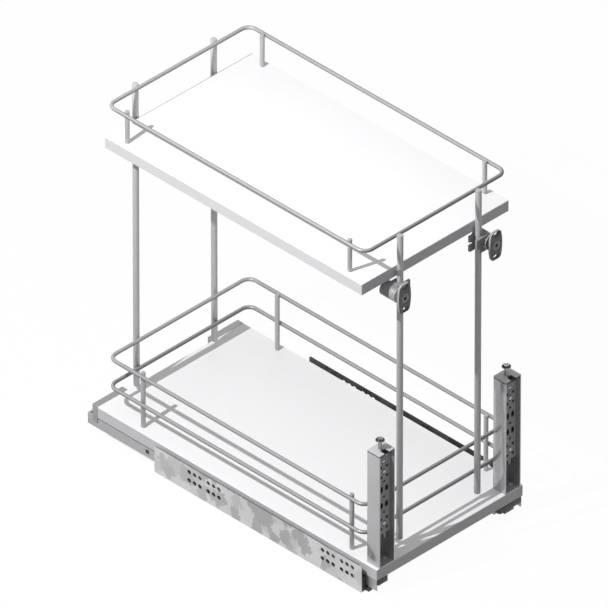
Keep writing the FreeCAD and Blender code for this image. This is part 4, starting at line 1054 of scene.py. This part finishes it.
# %% [markdown]
# ## Studs
#
# Two studs are riveted through each column's back. They have domed heads, which catch the light
# in the dark door plate, and their rear ends are upset into low domes. One is turned and copied.

# %% Rivet the studs
STUD_RISES = (170.5, 95.5)
STUD_HEAD = ((1.0, 0.0), (2.0, 0.25), (2.6, 0.7), (2.7, 1.2), (2.0, 1.25))
STUD_REAR = ((2.0, 0.0), (1.9, 0.4), (1.0, 0.7))

stud_low, stud_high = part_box("plate_studs")
stud_start = Vector((screw_axis.x, stud_low.y, STUD_RISES[0] * MM))
length = (stud_high.y - stud_low.y + DEEPER) / MM
rings = list(STUD_HEAD) + [(radius, length + step) for radius, step in STUD_REAR]
stud = turned(stud_start, rings, along=(0, 1, 0), sides=24)
lower_stud = copied(stud, step=(0, 0, (STUD_RISES[1] - STUD_RISES[0]) * MM))
right_studs = joined([stud, lower_stud])
stand_in(joined([right_studs, copied(right_studs, mirrored=True)]), "plate_studs", "riveted")

# %% [markdown]
# ## Softened edges on cast and moulded parts
#
# The plates, clips, locks and brackets are cast or moulded, so no edge on them is sharp. Their
# CAD solids already have the right shape but knife edges. A copy of such a solid has its loose
# triangles merged and its flat faces made whole, and then a bevel rounds its edges by a few
# tenths of a millimetre, which is enough to catch a line of light. The right one is softened and
# mirrored, apart from the front locks and their levers, which are not alike.

# %% Soften the edges of cast and moulded parts
EDGE_OF = {"door_plate": 0.3, "clip_body": 0.35, "clip_face": 0.3, "clip_screw": 0.25, "rear_bracket": 0.4,
           "rail_guide": 0.3}
LOCK_EDGE = 0.4
CAST_SHARP_FROM = 50
SAME_POINT = 0.002 * MM
FLAT_WITHIN = math.radians(1)


def whole_copy(node):
    """A copy of a CAD solid with its triangles merged into whole faces."""
    start_clean()
    piece = bpy.data.objects.new(node + "_whole", nodes[node].data.copy())
    bpy.context.collection.objects.link(piece)
    take(piece)
    bpy.ops.mesh.customdata_custom_splitnormals_clear()
    bpy.ops.object.mode_set(mode="EDIT")
    bpy.ops.mesh.select_all(action="SELECT")
    bpy.ops.mesh.remove_doubles(threshold=SAME_POINT)
    bpy.ops.mesh.dissolve_limited(angle_limit=FLAT_WITHIN)
    all_outwards()
    return piece


for part, width in EDGE_OF.items():
    for piece, side in pair(soften(whole_copy(part + "_right"), width, CAST_SHARP_FROM)):
        stand_in(piece, part + "_" + side, "soft")
for part in ("front_lock", "lock_lever"):
    for side in SIDES:
        node = part + "_" + side
        stand_in(soften(whole_copy(node), LOCK_EDGE, CAST_SHARP_FROM), node, "soft")

# %% [markdown]
# The outer edges of the face plates are painted light, as painted highlights. It is the
# same piece, so only those faces get another finish: the ones that look away from the clip's
# axis. In the same way the socket in each clip screw and the walls of a door plate's holes are
# painted black, as painted shade in the hollows. All three are found from the middle of a CAD
# solid's box, as seen from the front.

# %% Paint light on the face plates' edges, and shade in the sockets and holes
PLATE_THICK = 3.3 * MM
RIM_FROM = (7.3 * MM, 17.5 * MM)
SOCKET_REACH = 2.4 * MM
HOLES_REACH = 8 * MM
HOLE_FACING = 0.3
PLATE_SHEET = 1.5 * MM


def from_middle(point, low, high):
    """The way from the middle of a box to a point, as seen from the front."""
    out = point - (low + high) / 2
    out.y = 0
    return out


def on_rim(face, middle, low, high):
    """Whether a face is on the outer edge of a clip's face plate, which is painted light."""
    out = from_middle(middle, low, high)
    far = abs(out.x) > RIM_FROM[0] or abs(out.z) > RIM_FROM[1]
    outwards = abs(face.normal.y) < FACING and face.normal.dot(out) > 0
    return far and outwards and middle.y < low.y + PLATE_THICK


def in_socket(face, middle, low, high):
    """Whether a face is in the socket of a clip's screw."""
    inside = abs(face.normal.y) < FACING or middle.y > low.y + PLATE_THICK / 4
    near = from_middle(middle, low, high).length < SOCKET_REACH
    return near and inside and middle.y < low.y + PLATE_THICK


def in_hole(face, middle, low, high):
    """Whether a face is the wall of a hole in a door plate."""
    near = abs(from_middle(middle, low, high).x) < HOLES_REACH
    return near and abs(face.normal.y) < HOLE_FACING and middle.y < low.y + PLATE_SHEET


# Painted light on the face plates' outer edges, painted shade in the sockets and hole walls.
for part, box_of, material, test in (("clip_face_", "clip_face_", painted_light_edge, on_rim),
                                     ("clip_screw_", "clip_face_", painted_dark_metal, in_socket),
                                     ("door_plate_", "door_plate_", black_nylon, in_hole)):
    for side in SIDES:
        low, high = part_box(box_of + side)
        paint_faces(bpy.data.objects[part + side + "_soft"], material,
                    lambda face, middle: test(face, middle, low, high))
print("painted light and shade:", len(SIDES), "sides")

# %% [markdown]
# ## Ridges on the door plates
#
# A ring is pressed round each of the three middle holes of a door plate to stiffen it. A torus is
# flattened against the plate for each. The punched holes round the studs and the four slots have
# rolled rims, made in the same way and painted black as shade round the holes.

# %% Press the ridges and rims
RIDGE = 3.3
RIDGE_WIRE = 0.55
HOLE_RISES = (156.3, 134.0, 111.7)
STUD_HOLE_OFF = (5.0, 7.0)
STUD_RIM = 1.75
SLOT_OFF = 4.2
SLOT_RISES = (145.65, 122.35)
SLOT_RIM = 2.35
SLOT_STRETCH = 1.8
RIM_WIRE = 0.5
PRESSED_FLAT = 0.6

plate_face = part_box("door_plate_right")[0].y


def pressed_ring(off, rise, radius, wire, stretch=1.0):
    """A flat ring on the right door plate, in millimetres from the plate's axis and the floor."""
    middle = (screw_axis.x + off * MM, plate_face, rise * MM)
    start_clean()
    bpy.ops.mesh.primitive_torus_add(major_segments=24, minor_segments=8, major_radius=radius * MM,
                                     minor_radius=wire * MM, location=middle, rotation=(QUARTER, 0, 0))
    settle()
    bpy.ops.transform.resize(value=(1, PRESSED_FLAT, stretch), center_override=middle)
    settle()
    return bpy.context.object


ridges = [pressed_ring(0, rise, RIDGE, RIDGE_WIRE) for rise in HOLE_RISES]
rims = []
for way in (-1, 1):
    for rise in STUD_RISES:
        for step in (-1, 1):
            rims.append(pressed_ring(way * STUD_HOLE_OFF[0], rise + step * STUD_HOLE_OFF[1],
                                     STUD_RIM, RIM_WIRE))
    for rise in SLOT_RISES:
        rims.append(pressed_ring(way * SLOT_OFF, rise, SLOT_RIM, RIM_WIRE, SLOT_STRETCH))
# Painted shade: the rims round the holes are black.
for piece, side in pair(joined(rims)):
    finish_piece(piece, "plate_rims_" + side, "door_plate_" + side, material=black_nylon)
for piece, side in pair(joined(ridges)):
    finish_piece(piece, "plate_ridges_" + side, "door_plate_" + side)

# %% [markdown]
# A bright clamp pin shows in the slot at the top of each plate. It lies across the slot, with a
# small chamfer at each end.

# %% Fit the clamp pins
PIN_RISE = 184.6
PIN_OFF = (-2.6, 0.9)
PIN_RINGS = ((0.5, 0), (0.85, 0.3), (0.85, 4.9), (0.5, 5.2))

pin_start = Vector((screw_axis.x + PIN_OFF[0] * MM, plate_face + PIN_OFF[1] * MM, PIN_RISE * MM))
for piece, side in pair(turned(pin_start, PIN_RINGS, along=(1, 0, 0), sides=16)):
    finish_piece(piece, "plate_pin_" + side, "door_plate_" + side, material=bright_nickel)

# %% [markdown]
# ## Shelves with banded edges
#
# The edge band on a board is trimmed flush and its corner broken with a scraper. The small
# bevel catches a fine line of light along the front. Only the long outer edges get it.

# %% Break the edges of the shelves
BROKEN_EDGE = 0.5
BAND_LEAST = 12


def edges_broken(node, least):
    """A copy of a CAD solid whose sharp edges are rounded, from a least length in millimetres on."""
    return reshape(whole_copy(node), "EDGE", lambda edge, middle: edge.calc_length() > least * MM
                   and edge.calc_face_angle(0) > math.radians(CAST_SHARP_FROM),
                   bpy.ops.mesh.bevel, offset=BROKEN_EDGE * MM, segments=EDGE_STEPS, affect="EDGES")


for node in ("upper_shelf", "lower_shelf"):
    stand_in(edges_broken(node, BAND_LEAST), node, "banded")

# %% [markdown]
# ## Moving rails with rolled bends
#
# The rolls leave a small radius on every fold of a rail, and only the long folds have it.

# %% Round the folds of the moving rails
LONG_FOLD = 100

for part in ("drawer_rail", "middle_rail"):
    for side in SIDES:
        node = part + "_" + side
        stand_in(edges_broken(node, LONG_FOLD), node, "rolled")

# %% [markdown]
# ## Small dark lines
#
# Three fine dark marks are laid in. A thin dark line runs along the rear edge of the upper board,
# just inside its edge band. Under the lower board, a dark line runs along the top of each drawer
# rail, where it comes out from behind the fixed rail, as painted shade under the board's overhang.
# The rear end of each drawer rail has a slot for the stop, drawn as a dark patch of painted shade.
# All are thin dark inlays, bevelled so that they sit in the surface.

# %% Lay in the dark lines
DARK_LINE_WIDTH = 0.6 * MM
INLAY = 0.12 * MM
SHADE_LINE_DROP = 1.2 * MM
SHADE_LINE_OVERLAP = 5 * MM
STOP_SLOT_X = (6 * MM, 1.5 * MM)
STOP_SLOT_Y = (6 * MM, 2.5 * MM)

board_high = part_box("upper_shelf")[1]
drawer_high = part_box("drawer_rail_right")[1]
fixed_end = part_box("cabinet_rail_right")[1].y
bracket_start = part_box("rear_bracket_right")[0].y
rod_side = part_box("rod_rear_left")[0].x


def inlay(low, high):
    """A thin inlay between two corners, with its edges rounded into the surface."""
    return with_modifier(block(low, high), "BEVEL", width=INLAY / 2, segments=EDGE_STEPS)


# A thin dark line along the rear edge of the upper board.
rear_dark_line = inlay((rod_side, board_high.y - 2 * DARK_LINE_WIDTH, board_high.z - INLAY),
             (board_high.x, board_high.y - DARK_LINE_WIDTH, board_high.z + INLAY))
finish_piece(rear_dark_line, "upper_dark_line", "upper_shelf", material=zinc_casting)
# Painted shade: a dark line under the lower board's overhang, along each drawer rail.
shade_line = inlay((drawer_high.x - INLAY, fixed_end - SHADE_LINE_OVERLAP, drawer_high.z - SHADE_LINE_DROP - DARK_LINE_WIDTH),
             (drawer_high.x + INLAY, bracket_start, drawer_high.z - SHADE_LINE_DROP))
# Painted shade: a dark patch for the stop slot at the rear end of each drawer rail.
stop = inlay((drawer_high.x - STOP_SLOT_X[0], drawer_high.y - STOP_SLOT_Y[0], drawer_high.z - INLAY),
             (drawer_high.x - STOP_SLOT_X[1], drawer_high.y - STOP_SLOT_Y[1], drawer_high.z + INLAY))
for name, line in (("drawer_shade_lines", shade_line), ("stop_slots", stop)):
    both = joined([line, copied(line, mirrored=True)])
    finish_piece(both, name, "drawer_rail_right", material=black_nylon)

# %% [markdown]
# ## Fixed rails with their screw holes
#
# The fixed rails are screwed to the cabinet through groups of holes on the 32 mm system. The
# holes are opened out to the size that shows on the real one: a drill with a slight taper is
# drawn out once, copied to every hole and cut away in one go. The first two groups stand side by
# side at the front end, the other two seven steps of the system further back. The upper corner at
# the rear end is rounded. The upper edge is painted near-black, as painted shade in the gap
# between the rail and the board.

# %% Drill the holes of the fixed rails
SYSTEM = 32.0
GROUP_STEPS = (0, 1, 7, 8)
HOLES_IN_GROUP = 3
HOLE_STEP = 9.0
FIRST_HOLE = 15.3
ROW_DROPS = (8.9, 20.9)
DRILL_RINGS = ((2.9, -2.5), (3.1, -0.1), (3.1, 0.6))
REAR_CORNER = 2 * MM
LOOKS_UP = 0.7

rail_low, rail_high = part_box("cabinet_rail_right")
rail = whole_copy("cabinet_rail_right")
first_place = Vector((rail_high.x, rail_low.y + FIRST_HOLE * MM, rail_high.z))
drill = turned(first_place, DRILL_RINGS, along=(1, 0, 0), sides=20)
drills = []
for steps in GROUP_STEPS:
    for hole in range(HOLES_IN_GROUP):
        for drop in ROW_DROPS:
            drills.append(copied(drill, step=(0, (steps * SYSTEM + hole * HOLE_STEP) * MM, -drop * MM)))
bpy.data.objects.remove(drill, do_unlink=True)
cut_away(rail, joined(drills))
reshape(rail, "EDGE", lambda edge, middle: abs(middle.z - rail_high.z) < CLOSE
        and abs(middle.y - rail_high.y) < CLOSE and abs(edge.verts[0].co.x - edge.verts[1].co.x) > SHEET / 2,
        bpy.ops.mesh.bevel, offset=REAR_CORNER, segments=FOLD_STEPS, affect="EDGES")
for piece, side in pair(rail):
    stand_in(piece, "cabinet_rail_" + side, "drilled")
    # Painted shade: the top edge of each fixed rail is near-black.
    paint_faces(piece, painted_dark_metal,
                lambda face, middle: face.normal.z > LOOKS_UP and middle.z > rail_high.z - CLOSE)
print("holes:", len(drills), "in each rail")

# %% [markdown]
# ## Dark plates behind the windows
#
# Behind the square window in each drawer rail sits a dark grey plate, as painted shade for the
# hollow of the rail seen through the window. It lies flat against the wall, in the narrow gap
# that the middle rail leaves, so it needs only a plate with softened edges.

# %% Fit the dark plates behind the windows
RAIL_SHEET = 1.2 * MM
SHADE_PLATE_THICK = 1.2 * MM
SHADE_PLATE_HALF = (6 * MM, 5 * MM)
SHADE_PLATE_EDGE = 0.4
WINDOW_FROM_END = 101 * MM
WINDOW_HEIGHT = 13.9 * MM

wall = drawer_high.x - RAIL_SHEET
window_y = drawer_high.y - WINDOW_FROM_END
# Painted shade: a dark plate for the hollow seen through each window.
window_shade_plate = block((wall - SHADE_PLATE_THICK, window_y - SHADE_PLATE_HALF[0], WINDOW_HEIGHT - SHADE_PLATE_HALF[1]),
              (wall, window_y + SHADE_PLATE_HALF[0], WINDOW_HEIGHT + SHADE_PLATE_HALF[1]))
soften(window_shade_plate, SHADE_PLATE_EDGE)
finish_piece(joined([window_shade_plate, copied(window_shade_plate, mirrored=True)]), "window_shade_plates", "front_lock_right")

# %% [markdown]
# ## Ribbed sleeves
#
# Round each clip's core is a ribbed sleeve of light metal. It is turned with shallow grooves,
# bored for the core, and cut away where the rod passes.

# %% Turn the ribbed sleeves
RIB = 1.3
GROOVE = ((0, -0.3), (0.45, -0.1), (0.45, 0.1), (0, 0.3))
SLEEVE_END = ((0.4, 0), (0, 0.3))
CORE_BORE = 6
ROD_ROOM = 4.2

sleeve_low, sleeve_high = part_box("clip_sleeve_right")
rod_low, rod_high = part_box("rod_front_right")
length = (sleeve_high.y - sleeve_low.y) / MM
radius = (sleeve_high.z - sleeve_low.z) / 2 / MM
start = Vector((sleeve_high.x - radius * MM, sleeve_low.y, (sleeve_low.z + sleeve_high.z) / 2))
rings = [(radius - less, step) for less, step in SLEEVE_END]
for rib in range(1, int(length / RIB)):
    rings += [(radius - less, rib * RIB + step) for less, step in GROOVE]
rings += [(radius - less, length - step) for less, step in reversed(SLEEVE_END)]
sleeve = turned(start, rings, along=(0, 1, 0), sides=48)
cut_away(sleeve, turned(start, ((CORE_BORE, -1), (CORE_BORE, length + 1)), along=(0, 1, 0), sides=36))
rod_start = Vector(((rod_low.x + rod_high.x) / 2, (rod_low.y + rod_high.y) / 2, sleeve_low.z))
cut_away(sleeve, turned(rod_start, ((ROD_ROOM, -2), (ROD_ROOM, 2 * radius + 2)), sides=36))
for piece, side in pair(sleeve):
    stand_in(piece, "clip_sleeve_" + side, "ribbed")
